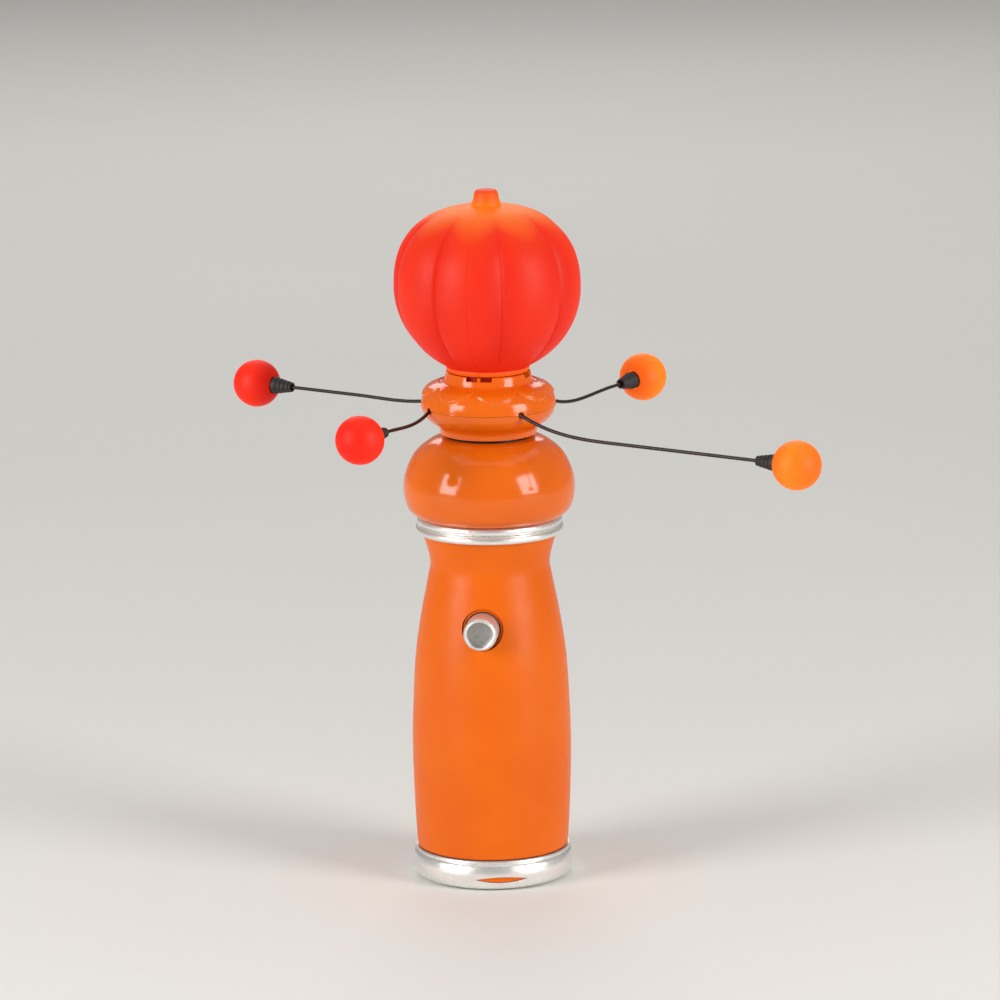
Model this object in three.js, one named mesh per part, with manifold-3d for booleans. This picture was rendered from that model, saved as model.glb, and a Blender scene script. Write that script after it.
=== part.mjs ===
// Light-up spinner wand: a grip with a push button and a motor inside, a spinning collar that
// carries four lamps on thin leads, and a pumpkin-shaped light on top.
// Millimetres, +Z up. The origin is the centre of the base, on the spin axis. The button faces -Y.

import * as THREE from 'three';
import { mergeVertices } from 'three/addons/utils/BufferGeometryUtils.js';
import Module from 'manifold-3d';

const wasm = await Module();
wasm.setup();

// ---------------------------------------------------------------- driving dimensions

const gap = 0.3; // between pieces that fit together
const seam = 0.05; // each half shell stops this far from its parting plane
const wall = 1.8; // moulded shells of the grip and housing
const thinWall = 1.4; // moulded shells that spin

const broad = 26; // facets round the large turned pieces
const small = 16; // facets round the small ones
const tiny = 12; // facets round the lamps' pieces

const gripRadius = 20; // widest, near the bottom of the grip
const waistRadius = 15.05; // narrowest, above the button
const gripFoot = 8; // the foot ring reaches up to here
const gripTop = 88.3; // the trim ring starts above here
const housingFoot = 93.1;
const housingTop = 113;
const housingRadius = 21.5;
const equator = 120.8; // parting plane of the collar
const collarRadius = 16.8;
const neckTop = 129.45;
const headWidest = 150.8;
const headRadius = 23.5;
const headTop = 171.4;
const stemTop = 175.2;

const buttonHeight = 66.8;
const buttonRadius = 4.2;
const buttonTravel = 2;

const screwRadius = 1;
const screwHole = screwRadius + gap; // half the width of a hole that a screw passes or bites into
const screwHead = { radius: 2, height: 1.2 };
const sinkRadius = screwHead.radius + 0.4;

const cellRadius = 7.25; // AA cell
const cellLength = 50.5;
const packRadius = 8.6; // from the axis to each cell's centre
const motorRadius = 10; // 130-size motor, flattened on two sides
const motorFlat = 7.55;
const shaftRadius = 1;

const rotorPhase = -6; // degrees that the spinning top is turned from the grip's front
const exitAngle = 43; // degrees from the spinning top's own front to the first lead
const exitRadius = 17.3; // each lead hinges here, just outside the collar
const exitHeight = 120.5;
const trailAngle = 27; // each lead lags this far behind the radius it leaves on
const exitSlant = 24; // degrees that each lead points down where it leaves
const exitSlope = Math.tan(THREE.MathUtils.degToRad(exitSlant));
const leadRadius = 0.45;
const bendLength = 30; // a lead is straight again this far out, or where its lamp's boot starts
const bootLength = 6.6;
const globeRadius = 6.2;
const lampOrbits = [94, 61.6, 76.4, 46.5]; // radius of each lamp's circle
const lampDrop = { least: 1.5, perOrbit: 0.053 }; // how far each lamp rides below its exit

// ---------------------------------------------------------------- materials

const looks = {
  orange: { color: 0xf36f21, roughness: 0.22, metalness: 0 },
  silver: { color: 0xc4c5c3, roughness: 0.32, metalness: 0.85 },
  headRed: { color: 0xee3823, roughness: 0.5, metalness: 0, emissive: 0xc81c08 },
  stemOrange: { color: 0xf56228, roughness: 0.5, metalness: 0, emissive: 0xa83a08 },
  lampRed: { color: 0xf0331f, roughness: 0.4, metalness: 0, emissive: 0xd02010 },
  lampOrange: { color: 0xf77f1e, roughness: 0.4, metalness: 0, emissive: 0xc85a08 },
  ledLens: { color: 0xff5a36, roughness: 0.12, metalness: 0 },
  cable: { color: 0x2a1712, roughness: 0.6, metalness: 0 },
  boot: { color: 0x1d1a19, roughness: 0.7, metalness: 0 },
  innerPlastic: { color: 0x232326, roughness: 0.6, metalness: 0 },
  board: { color: 0x1f6b3c, roughness: 0.5, metalness: 0 },
  steel: { color: 0xb4b6b9, roughness: 0.3, metalness: 1 },
  copper: { color: 0xc27a4a, roughness: 0.3, metalness: 1 },
  bronze: { color: 0xa9793f, roughness: 0.35, metalness: 1 },
  cellJacket: { color: 0x3d4650, roughness: 0.4, metalness: 0.2 },
};

// ---------------------------------------------------------------- shaping

// Corner coordinates and triangles of a geometry, with its shared corners merged.
function bareMesh(geometry) {
  const bare = geometry.index ? geometry.toNonIndexed() : geometry.clone();
  bare.deleteAttribute('normal');
  bare.deleteAttribute('uv');
  const merged = mergeVertices(bare, 1e-4);
  const corners = merged.index.array;
  const kept = [];
  for (let i = 0; i < corners.length; i += 3) {
    const [a, b, c] = [corners[i], corners[i + 1], corners[i + 2]];
    if (a !== b && b !== c && c !== a) kept.push(a, b, c);
  }
  return { places: merged.attributes.position.array, kept };
}

function signedVolume({ places, kept }) {
  const corner = (i) => new THREE.Vector3().fromArray(places, 3 * kept[i]);
  let total = 0;
  for (let i = 0; i < kept.length; i += 3) {
    total += corner(i).dot(corner(i + 1).cross(corner(i + 2)));
  }
  return total;
}

// A closed geometry as a solid, with its faces pointing out.
function solid(geometry) {
  const mesh = bareMesh(geometry);
  if (signedVolume(mesh) < 0) mesh.kept.reverse();
  return new wasm.Manifold(new wasm.Mesh({
    numProp: 3,
    vertProperties: Float32Array.from(mesh.places),
    triVerts: Uint32Array.from(mesh.kept),
  }));
}

function geometryOf(shape) {
  const mesh = shape.getMesh();
  const geometry = new THREE.BufferGeometry();
  geometry.setAttribute('position', new THREE.BufferAttribute(mesh.vertProperties, mesh.numProp));
  geometry.setIndex(new THREE.BufferAttribute(mesh.triVerts, 1));
  geometry.computeVertexNormals();
  return geometry;
}

// Turns a profile of [radius, height] points about Z. It closes on itself, or ends on the axis.
function turned(profile, facets = broad) {
  const points = profile.map(([r, z]) => new THREE.Vector2(r, z));
  const onAxis = profile[0][0] === 0 && profile[profile.length - 1][0] === 0;
  if (!onAxis) points.push(points[0].clone());
  return solid(new THREE.LatheGeometry(points, facets).rotateX(Math.PI / 2));
}

function disc(radius, bottom, top, facets = broad) {
  return turned([[0, bottom], [radius, bottom], [radius, top], [0, top]], facets);
}

function tube(inner, outer, bottom, top, facets = broad) {
  return turned([[inner, bottom], [outer, bottom], [outer, top], [inner, top]], facets);
}

// A box from its middle and its sizes.
function block([x, y, z], [dx, dy, dz]) {
  return solid(new THREE.BoxGeometry(dx, dy, dz).translate(x, y, z));
}

// A plate with the given outline, from bottom to top.
function plate(outline, bottom, top) {
  const shape = new THREE.Shape(outline.map(([x, y]) => new THREE.Vector2(x, y)));
  const depth = top - bottom;
  return solid(new THREE.ExtrudeGeometry(shape, { depth, bevelEnabled: false }).translate(0, 0, bottom));
}

// A round wire that follows a curve.
function wire(curve, radius, sides, steps) {
  const section = new THREE.Shape();
  for (let i = 0; i < sides; i += 1) {
    const angle = (2 * Math.PI * i) / sides;
    const [x, y] = [radius * Math.cos(angle), radius * Math.sin(angle)];
    if (i === 0) section.moveTo(x, y);
    else section.lineTo(x, y);
  }
  section.closePath();
  return solid(new THREE.ExtrudeGeometry(section, { steps, extrudePath: curve, bevelEnabled: false }));
}

// Points of [radius, height] on a smooth curve through a few stations.
function smooth(stations, pieces) {
  const curve = new THREE.SplineCurve(stations.map(([r, z]) => new THREE.Vector2(r, z)));
  return curve.getPoints(pieces).map((p) => [p.x, p.y]);
}

// The same curve moved in by a wall's thickness, square to itself, and listed from its far end.
function inside(points, thickness) {
  const moved = points.map(([r, z], i) => {
    const before = points[Math.max(i - 1, 0)];
    const after = points[Math.min(i + 1, points.length - 1)];
    const along = new THREE.Vector2(after[0] - before[0], after[1] - before[1]).normalize();
    return [r - along.y * thickness, z + along.x * thickness];
  });
  return moved.reverse();
}

// A point at an angle from the front (-Y), counted counter-clockwise from above.
function fromFront(radius, degrees) {
  const angle = THREE.MathUtils.degToRad(degrees);
  return [radius * Math.sin(angle), -radius * Math.cos(angle)];
}

const object = new THREE.Group();
const grip = new THREE.Group();
const button = new THREE.Group();
const rotor = new THREE.Group();
object.add(grip, button, rotor);
button.position.z = buttonHeight;
button.rotation.x = Math.PI / 2; // the button's own +Z points out through the grip's front
rotor.rotation.z = THREE.MathUtils.degToRad(rotorPhase);

function add(group, name, shape, look) {
  const mesh = new THREE.Mesh(geometryOf(shape), new THREE.MeshStandardMaterial(looks[look]));
  mesh.name = name;
  group.add(mesh);
  return mesh;
}

// ---------------------------------------------------------------- grip

const spigotRadius = 17.8; // the grip's foot, inside the foot ring
const spigotBore = 16.2;
const spigotFoot = 1.3;
const neckRadius = 14.6; // the grip's top, inside the trim ring
const neckBore = 12.9;
const neckHeight = 94.8;

const gripSide = smooth([
  [19, gripFoot], [19.6, 18.5], [gripRadius, 33], [19.7, 45], [18.9, 57.6],
  [17.3, 68.3], [15.7, 76.5], [waistRadius, 81.6], [16.8, gripTop],
], 12);

function gripBody() {
  const motorRoom = 77; // the straight bore for the motor starts here
  const lowSide = gripSide.filter(([, z]) => z < motorRoom - 2);
  const bore = inside(lowSide, wall).filter((p, i) => i % 2 === 0);
  return turned([
    [spigotBore, spigotFoot], [spigotRadius, spigotFoot], [spigotRadius, gripFoot],
    ...gripSide, [neckRadius, gripTop], [neckRadius, neckHeight], [neckBore, neckHeight],
    [neckBore, motorRoom], ...bore, [spigotBore, gripFoot + wall],
  ]);
}

const screwX = 10.2;
const screwZ = 70;
const screwFace = 9; // the heads' seats are this far behind the parting plane
const capScrewY = -12.8;

// A cylinder along Y, from y = low to y = high.
function alongY(radius, x, z, low, high, facets = small) {
  return disc(radius, low, high, facets).rotate([-90, 0, 0]).translate([x, 0, z]);
}

const buttonHole = 5.2;
const buttonFacets = small + 8;
const bossRadius = 2.6;
const reach = 120; // a cutting block this long passes right through the grip or the head

// All of space on one side of y = 0, short of it by the seam.
function halfSpace(side) {
  return block([0, side * (reach / 2 + seam), reach / 2], [reach, reach, 2 * reach]);
}

const bossLimit = disc(16, screwZ - 5, screwZ + 5); // the screw bosses stay inside the grip's skin

// A lens-shaped block low on the front, from one distance from the axis to another: the foot
// ring's slot, and, made smaller by a clearance, the grip's tab that snaps into it.
function snapLens(clearance, near, far) {
  const halfWidth = 6.5 - 2 * clearance;
  const rise = 0.75 - clearance;
  const lens = [];
  for (let i = 0; i < 12; i += 1) {
    const angle = (2 * Math.PI * i) / 12;
    lens.push([halfWidth * Math.cos(angle), rise * Math.sin(angle) * Math.abs(Math.sin(angle))]);
  }
  return plate(lens, near, far).rotate([90, 0, 0]).rotate([0, 0, 13]).translate([0, 0, 3.1]);
}

function frontShell() {
  const half = gripBody().intersect(halfSpace(-1));
  const hole = alongY(buttonHole, 0, buttonHeight, -reach, -10, buttonFacets);
  const boss = (x) => alongY(bossRadius, x, screwZ, -gripRadius, -gap).intersect(bossLimit)
    .subtract(alongY(screwHole, x, screwZ, -8, 1, tiny));
  const footBoss = disc(bossRadius, 2.3, 12, small).add(block([0, -2.4, 7.2], [3.6, 4, 9.6]))
    .subtract(disc(screwHole, 2, 10, tiny));
  const tab = snapLens(0.15, spigotBore + 0.2, 22).intersect(disc(spigotRadius + 2.1, 0, gripFoot));
  return half.subtract(hole).add(boss(screwX)).add(boss(-screwX)).add(tab)
    .add(footBoss.translate([0, capScrewY, 0]));
}

function rearShell() {
  const half = gripBody().intersect(halfSpace(1));
  const sink = (x) => alongY(sinkRadius, x, screwZ, screwFace, reach)
    .add(alongY(screwHole, x, screwZ, -1, screwFace + 1, tiny));
  const boss = (x) => alongY(sinkRadius + 1, x, screwZ, gap, gripRadius).intersect(bossLimit);
  return half.add(boss(screwX)).add(boss(-screwX)).subtract(sink(screwX)).subtract(sink(-screwX));
}

// A pan-head screw standing on the XY plane, head down.
function screw(length) {
  const { radius, height } = screwHead;
  const slot = block([0, 0, 0], [1.5 * radius, radius / 4, 0.75 * height]);
  return turned([[0, 0], [0.8 * radius, 0], [radius, 0.4 * height], [radius, height], [screwRadius, height],
    [screwRadius, length - 0.8], [0, length]], tiny).subtract(slot);
}

function footRing() {
  const outer = smooth([[17.1, 0], [19.4, 0.9], [20.35, 3.8], [19.95, 6.2], [19.4, 7.4]], 6);
  const bore = spigotRadius + gap;
  const lip = { radius: 16.9, thickness: 1 }; // hooks under the grip's foot
  const ring = turned([[lip.radius, 0], ...outer, [19.25, gripFoot - gap], [bore, gripFoot - gap],
    [bore, lip.thickness], [lip.radius, lip.thickness]]);
  return ring.subtract(snapLens(0, 17, 25));
}

function batteryCap() {
  const plug = { inner: 14.6, outer: 15.8, top: 4.4 }; // the cap's rim, inside the grip's foot
  const edge = 16.6;
  const cap = turned([[0, 0], [edge, 0], [edge, 1], [plug.outer, 1], [plug.outer, plug.top],
    [plug.inner, plug.top], [plug.inner, 2], [0, 2]]);
  const sink = disc(sinkRadius, -1, 1.4, small).add(disc(screwHole, 0, 3, small));
  const room = disc(bossRadius + 0.8, 2.05, 6, small).add(block([0, -2, 4.5], [4.4, 4, 4.9]));
  return cap.subtract(sink.translate([0, capScrewY, 0])).subtract(room.translate([0, capScrewY, 0]));
}

function trimRing() {
  const bore = neckRadius + gap;
  const size = 1.05;
  const bead = (radius, height) => smooth([
    [radius - size, height - size], [radius, height], [radius - size, height + size],
  ], 4);
  return turned([[bore, gripTop + 0.2], ...bead(18.6, 89.6), ...bead(18.3, 91.75),
    [bore, housingFoot - 0.2]]);
}

add(grip, 'front_shell', frontShell(), 'orange');
add(grip, 'rear_shell', rearShell(), 'orange');
add(grip, 'foot_ring', footRing(), 'silver');
add(grip, 'battery_cap', batteryCap(), 'orange');
add(grip, 'trim_ring', trimRing(), 'silver');
add(grip, 'battery_cap_screw', screw(9), 'steel').position.set(0, capScrewY, 0.15);
for (const [side, x] of [['left', -screwX], ['right', screwX]]) {
  const shellScrew = add(grip, `shell_screw_${side}`, screw(14), 'steel');
  shellScrew.rotation.x = Math.PI / 2;
  shellScrew.position.set(x, screwFace + 1.3, screwZ);
}

// ---------------------------------------------------------------- batteries

const stripFoot = 6.7; // the lower contacts lie on the carrier's floor
const stripHead = 61.7; // the upper ones hang under its roof
const stripThickness = 0.4;
const cellAngles = [90, 210, 330];

function cellCentre(degrees) {
  const angle = THREE.MathUtils.degToRad(degrees);
  return [packRadius * Math.cos(angle), packRadius * Math.sin(angle)];
}

function batteryCarrier() {
  const plateRadius = spigotBore - 0.5;
  const thickness = 1.2;
  const floor = disc(plateRadius, stripFoot - 0.1 - thickness, stripFoot - 0.1);
  const underRoof = stripHead + stripThickness + 0.1;
  const roof = disc(plateRadius, underRoof, underRoof + thickness);
  const posts = [30, 150].map((degrees) => {
    const angle = THREE.MathUtils.degToRad(degrees);
    return disc(2.2, stripFoot - 1, stripHead + 1, small)
      .translate([13.2 * Math.cos(angle), 13.2 * Math.sin(angle), 0]);
  });
  const notch = block([0, -18.4, 34], [12.2, 20, 80]); // clears the button and the cap's screw
  return floor.add(roof).subtract(notch).add(posts[0]).add(posts[1]);
}

// An AA cell, nub up, standing on z = 0.
function batteryCell() {
  const nub = 1.5;
  const nubRadius = 2.75;
  const rolled = 0.4; // the jacket's rounded edges
  const shoulder = cellLength - nub;
  return turned([[0, 0], [cellRadius - rolled, 0], [cellRadius, rolled],
    [cellRadius, shoulder - rolled], [cellRadius - rolled, shoulder], [nubRadius, shoulder],
    [nubRadius, cellLength], [0, cellLength]], small);
}

// A conical contact spring, its wide end down.
function batterySpring() {
  const turns = 2.5;
  const stations = 20;
  const points = [];
  for (let i = 0; i <= stations; i += 1) {
    const share = i / stations;
    const angle = 2 * Math.PI * turns * share;
    const radius = 5 - 2 * share;
    points.push(new THREE.Vector3(radius * Math.cos(angle), radius * Math.sin(angle), 0.5 + 2.6 * share));
  }
  return wire(new THREE.CatmullRomCurve3(points), 0.35, 6, stations);
}

// A flat contact that covers the ends of one or more cells.
function contactStrip(degrees, bottom) {
  const pads = degrees.map((d) => disc(5.6, bottom, bottom + stripThickness, small)
    .translate([...cellCentre(d), 0]));
  if (pads.length === 1) return pads[0];
  const [[ax, ay], [bx, by]] = degrees.map(cellCentre);
  const link = block([0, 0, bottom + stripThickness / 2], [Math.hypot(bx - ax, by - ay), 5, stripThickness])
    .rotate([0, 0, THREE.MathUtils.radToDeg(Math.atan2(by - ay, bx - ax))])
    .translate([(ax + bx) / 2, (ay + by) / 2, 0]);
  return pads[0].add(pads[1]).add(link);
}

function fillCarrier() {
  const springRoom = 3.8; // a cell stands off its contact by a squeezed spring
  cellAngles.forEach((degrees, i) => {
    const nubUp = i !== 1;
    const [x, y] = cellCentre(degrees);
    const cell = add(grip, `battery_cell_${i + 1}`, batteryCell(), 'cellJacket');
    const spring = add(grip, `battery_spring_${i + 1}`, batterySpring(), 'steel');
    const bottom = stripFoot + stripThickness;
    if (nubUp) {
      cell.position.set(x, y, bottom + springRoom);
      spring.position.set(x, y, bottom);
    } else {
      cell.rotation.x = Math.PI;
      spring.rotation.x = Math.PI;
      cell.position.set(x, y, stripHead - springRoom);
      spring.position.set(x, y, stripHead);
    }
  });
}

add(grip, 'battery_carrier', batteryCarrier(), 'innerPlastic');
fillCarrier();
add(grip, 'contact_strip_top', contactStrip([90, 210], stripHead), 'steel');
add(grip, 'contact_strip_bottom', contactStrip([210, 330], stripFoot), 'steel');
add(grip, 'contact_tab_top', contactStrip([330], stripHead), 'steel');
add(grip, 'contact_tab_bottom', contactStrip([90], stripFoot), 'steel');

// ---------------------------------------------------------------- button and switch

const guideBore = buttonRadius + gap;
const guideRadius = buttonHole - 0.18;
const guideFace = 16.2; // sunk in the hole, below the grip's skin
const guideFlange = { bottom: 12.2, top: 13.4 };
const flangeRadius = { guide: 6.6, cap: 5.6 };
const capFlange = { bottom: 10.9, top: 11.9 };
const switchFace = 6;

function buttonCap() {
  const face = 22.9;
  const cap = turned([[0, capFlange.bottom], [flangeRadius.cap, capFlange.bottom],
    [flangeRadius.cap, capFlange.top], [buttonRadius, capFlange.top], [buttonRadius, face - 0.7],
    [buttonRadius - 0.55, face], [buttonRadius - 0.85, face - 0.25], [1.8, face - 0.55],
    [0, face - 0.6]], buttonFacets);
  return cap.subtract(disc(1.5, capFlange.bottom - 1, capFlange.top + 2, tiny));
}

const plungerTop = capFlange.top + 2 - gap;
const plungerFoot = switchFace - 1.8;

function buttonGuide() {
  return tube(guideBore, guideRadius, guideFlange.bottom, guideFace, buttonFacets)
    .add(tube(guideBore, flangeRadius.guide, guideFlange.bottom, guideFlange.top, buttonFacets));
}

add(button, 'button_guide', buttonGuide(), 'orange');
add(button, 'button_cap', buttonCap(), 'silver');
add(button, 'switch_plunger', disc(1.2, plungerFoot, plungerTop, tiny), 'innerPlastic');
add(button, 'switch_body', block([0, 0.5, (switchFace + 0.8) / 2], [8, 7, switchFace - 0.8])
  .subtract(disc(1.5, plungerFoot - buttonTravel - gap, switchFace + 1, tiny)), 'innerPlastic');
add(button, 'circuit_board', block([0, 2, 0], [13, 10, 1.2]), 'board');

// ---------------------------------------------------------------- motor

const motorFoot = 77.7;
const motorHead = 98.2;
const cradleFlange = 95.1;

// The motor's round section with two flats, from bottom to top.
function motorSection(radius, flat, bottom, top) {
  return disc(radius, bottom, top, broad - 12)
    .intersect(block([0, 0, (bottom + top) / 2], [2 * radius + 1, 2 * flat, top - bottom]));
}

function motorCan() {
  return motorSection(motorRadius, motorFlat, motorFoot, motorHead)
    .add(disc(3.1, motorHead - 1, motorHead + 1.6, small))
    .subtract(disc(shaftRadius + gap / 2, motorHead - 8, motorHead + 2, small));
}

function motorEndCap() {
  const tab = (x) => block([x, 3.5, motorFoot - 3.4], [2, 0.5, 3]);
  return motorSection(motorRadius - 0.2, motorFlat - 0.1, motorFoot - 2.3, motorFoot - 0.1)
    .add(tab(-6)).add(tab(6));
}

function motorCradle() {
  const flange = { radius: 17, thickness: 1.6 };
  const body = disc(neckBore - gap, motorFoot - 0.7, motorHead + 1.8)
    .add(disc(flange.radius, cradleFlange, cradleFlange + flange.thickness));
  return body.subtract(motorSection(motorRadius + gap, motorFlat + gap, motorFoot - 2, motorHead + gap))
    .subtract(disc(3.5, motorHead, motorHead + 3, small));
}

add(grip, 'motor_can', motorCan(), 'steel');
add(grip, 'motor_end_cap', motorEndCap(), 'innerPlastic');
add(grip, 'motor_cradle', motorCradle(), 'innerPlastic');

// ---------------------------------------------------------------- motor housing and brushes

const topBore = 10.3; // opening in the top of the housing, filled by the brush holder
const holderFoot = housingTop - 3.8;
const holderTop = housingTop + 0.3;
const bushRadius = 2.6;
const ringRadii = { inner: 5.6, outer: 8.6 };
const ringFoot = 115; // underside of the slip rings

function motorHousing() {
  const outer = smooth([[18.6, housingFoot], [20.6, 95.2], [housingRadius, 99.3], [21, 103.8],
    [18.6, 108.6], [14.6, 111.9], [topBore + 1, housingTop]], 8);
  const bore = inside(outer.slice(1), wall).filter((p, i) => i % 2 === 0);
  const floorTop = housingFoot + wall - gap;
  return turned([[neckRadius + gap, housingFoot], ...outer, [topBore, housingTop],
    [topBore, housingTop - wall], ...bore, [16.6, floorTop], [neckRadius + gap, floorTop]]);
}

function brushHolder() {
  const bore = bushRadius + gap;
  return tube(bore, topBore - gap, holderFoot, holderTop, broad - 12)
    .add(tube(bore, topBore + 1.3, holderFoot, housingTop - wall - gap, broad - 12));
}

// A leaf that rises to touch its slip ring, lying along Y at x = radius.
function brush(radius) {
  const thickness = 0.3;
  const foot = holderTop + 0.1;
  const tip = ringFoot - 0.1;
  const side = [[-3.5, foot], [-1, foot], [2.6, tip - thickness], [3.4, tip - thickness], [3.4, tip],
    [2.4, tip], [-1.2, foot + thickness], [-3.5, foot + thickness]];
  return plate(side, -0.75, 0.75).rotate([90, 0, 90]).translate([radius, 0, 0]);
}

add(grip, 'motor_housing', motorHousing(), 'orange');
add(grip, 'brush_holder', brushHolder(), 'innerPlastic');
add(grip, 'shaft_bush', tube(shaftRadius + 0.15, bushRadius, holderFoot, holderTop + 0.3, small), 'bronze');
add(grip, 'brush_inner', brush(ringRadii.inner), 'copper');
add(grip, 'brush_outer', brush(-ringRadii.outer), 'copper');

// ---------------------------------------------------------------- spinning collar

const boardFoot = ringFoot + gap;
const floorFoot = boardFoot + 1.5;
const floorTop = floorFoot + 1.3;
const hubTop = 131.2;
const leadAngles = lampOrbits.map((orbit, i) => exitAngle + 90 * i);

function slipRing(radius) {
  return tube(radius - 0.8, radius + 0.8, ringFoot, ringFoot + 0.2, broad - 12);
}

function rotorHub() {
  const flangeFoot = floorTop + gap;
  return disc(2.9, ringFoot - 0.4, flangeFoot + 1, broad - 12)
    .add(disc(12, flangeFoot, flangeFoot + 1.2, broad - 12))
    .add(disc(4.2, flangeFoot, hubTop, broad - 12))
    .subtract(disc(shaftRadius + 0.1, ringFoot - 2, equator + 0.5, small));
}

// The four holes that the leads leave by, drilled along each lead.
function leadHoles() {
  const drill = disc(leadRadius + 0.35, -4.5, 1, 8).rotate([0, 90, 0]).rotate([0, exitSlant, 0]);
  const holes = leadAngles.map((degrees) => {
    const [x, y] = fromFront(exitRadius, degrees);
    return drill.rotate([0, 0, degrees + trailAngle - 90]).translate([x, y, exitHeight]);
  });
  return holes.reduce((all, hole) => all.add(hole));
}

function collarLowerShell() {
  const foot = 113.8;
  const skirtBore = 11;
  const hubHole = 4.6;
  const outer = smooth([[12.1, foot], [12.6, 115.6], [14.9, 117.3], [16.3, 119.1],
    [collarRadius, equator - seam]], 6);
  const bore = inside(outer.slice(3), thinWall).map(([r, z]) => [r, Math.min(z, equator - seam)]);
  return turned([[skirtBore, foot], ...outer, ...bore, [12.9, floorTop], [hubHole, floorTop],
    [hubHole, floorFoot], [skirtBore, floorFoot]]).subtract(leadHoles());
}

const petalCount = 8;

// Outline of the raised scalloped edge: eight petals that meet in sharp corners.
function petalOutline() {
  const cornerRadius = 13.6;
  const petalReach = 2.9;
  const pointsPerPetal = 4;
  const outline = [];
  for (let i = 0; i < petalCount * pointsPerPetal; i += 1) {
    const swell = Math.abs(Math.sin((Math.PI * i) / pointsPerPetal)) ** 0.6;
    const degrees = exitAngle + (360 * i) / (petalCount * pointsPerPetal);
    outline.push(fromFront(cornerRadius + petalReach * swell, degrees));
  }
  return outline;
}

function collarUpperShell() {
  const relief = 0.45;
  const dome = smooth([[collarRadius + 0.15, equator + seam], [16.5, 123.4], [14.9, 125.5],
    [12.1, 126.6]], 5);
  const neck = [[11.4, 126.8], [11, 127.3], [10.6, neckTop]];
  const under = (thickness) => inside(dome, thickness).map(([r, z]) => [r, Math.max(z, equator + seam)]);
  const shell = turned([...dome, ...neck, [9.5, neckTop], [9.7, 126.4], ...under(thinWall)]);
  const petals = turned([...dome.map(([r, z]) => [r + relief, z + relief]), ...under(0.6)])
    .intersect(plate(petalOutline(), equator + 0.6, 128));
  const pane = (x) => block([x, 0, neckTop - 0.5], [3, 30, 1.1]); // two panes with a rib between them
  const windows = [0, 90].map((degrees) => pane(-1.8).add(pane(1.8)).rotate([0, 0, degrees]));
  return shell.add(petals).subtract(windows[0]).subtract(windows[1]).subtract(leadHoles());
}

add(rotor, 'motor_shaft', disc(shaftRadius, motorHead - 7.5, equator, tiny), 'steel');
add(rotor, 'rotor_hub', rotorHub(), 'innerPlastic');
add(rotor, 'slip_ring_board', tube(3.3, 10.6, boardFoot, boardFoot + 1.2), 'board');
add(rotor, 'slip_ring_inner', slipRing(ringRadii.inner), 'copper');
add(rotor, 'slip_ring_outer', slipRing(ringRadii.outer), 'copper');
add(rotor, 'collar_lower_shell', collarLowerShell(), 'orange');
add(rotor, 'collar_upper_shell', collarUpperShell(), 'orange');

// ---------------------------------------------------------------- pumpkin head

const lobeCount = 8;
const lobeFade = 10.6; // the grooves fade out towards this radius
const lobeDepth = 1.4;
const headWall = 1.6;
const stemHole = 2.2;

// Half a pumpkin's side: rounder below its widest line, flatter and squarer above it.
function headSide(steps) {
  const footAngle = THREE.MathUtils.degToRad(-63.5);
  const lowerHeight = 22;
  const upperHeight = headTop - headWidest;
  const squareness = 2 / 2.4;
  const points = [];
  for (let i = 0; i <= steps; i += 1) {
    const angle = footAngle + (Math.PI / 2 - footAngle) * (i / steps);
    const [c, s] = [Math.cos(angle), Math.sin(angle)];
    if (s < 0) points.push([headRadius * c, headWidest + lowerHeight * s]);
    else points.push([headRadius * Math.max(c, 0) ** squareness, headWidest + upperHeight * s ** squareness]);
  }
  points[points.length - 1] = [0, headTop - 0.4];
  return points;
}

// Presses grooves into a turned pumpkin, deepest at its widest line.
function grooved(geometry) {
  const place = geometry.attributes.position;
  for (let i = 0; i < place.count; i += 1) {
    const [x, y] = [place.getX(i), place.getZ(i)];
    const radius = Math.hypot(x, y);
    const crest = Math.abs(Math.cos((lobeCount / 2) * Math.atan2(y, x)));
    const depth = lobeDepth * (1 - crest ** 0.6) * Math.min(1, Math.max(0, (radius - lobeFade) / 8));
    const share = radius > 0 ? (radius - depth) / radius : 1;
    place.setX(i, x * share);
    place.setZ(i, y * share);
  }
  return geometry;
}

function headShell() {
  const side = headSide(10);
  const plug = { radius: 9.1, foot: 127.6 }; // sits in the collar's neck
  const bead = [[9.9, neckTop + 0.1], [10.4, 130.2], [10.4, 130.9]];
  const foot = [[0, plug.foot], [plug.radius, plug.foot], [plug.radius, neckTop + 0.1], ...bead];
  const outline = [...foot, ...side].map(([r, z]) => new THREE.Vector2(r, z));
  const outer = solid(grooved(new THREE.LatheGeometry(outline, 4 * lobeCount)).rotateX(Math.PI / 2));
  const core = inside(side.slice(1, -1), headWall + lobeDepth).reverse();
  const mouth = plug.radius - headWall;
  const hollow = turned([[0, plug.foot - 1], [mouth, plug.foot - 1], [mouth, 132], ...core,
    [0, headTop - headWall - 0.4]], small + 4);
  return outer.subtract(hollow).subtract(disc(stemHole, headTop - 6, headTop + 2, small));
}

// The left or right half of the head: side is -1 or 1.
function headHalf(side) {
  return headShell().intersect(halfSpace(side).rotate([0, 0, -90]));
}

function headStem() {
  const plug = stemHole - gap;
  return turned([[0, headTop - 3], [plug, headTop - 3], [plug, headTop], [3.8, headTop],
    [3.3, headTop + 1.2], [2.9, stemTop - 0.7], [2.1, stemTop], [0, stemTop]], small);
}

// An LED standing on z = 0, its lens up.
function led(radius, length) {
  return turned([[0, 0], [radius * 1.18, 0], [radius * 1.18, radius * 0.4], [radius, radius * 0.4],
    [radius, length - radius], [radius * 0.75, length - radius * 0.34], [0, length]], tiny);
}

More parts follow.
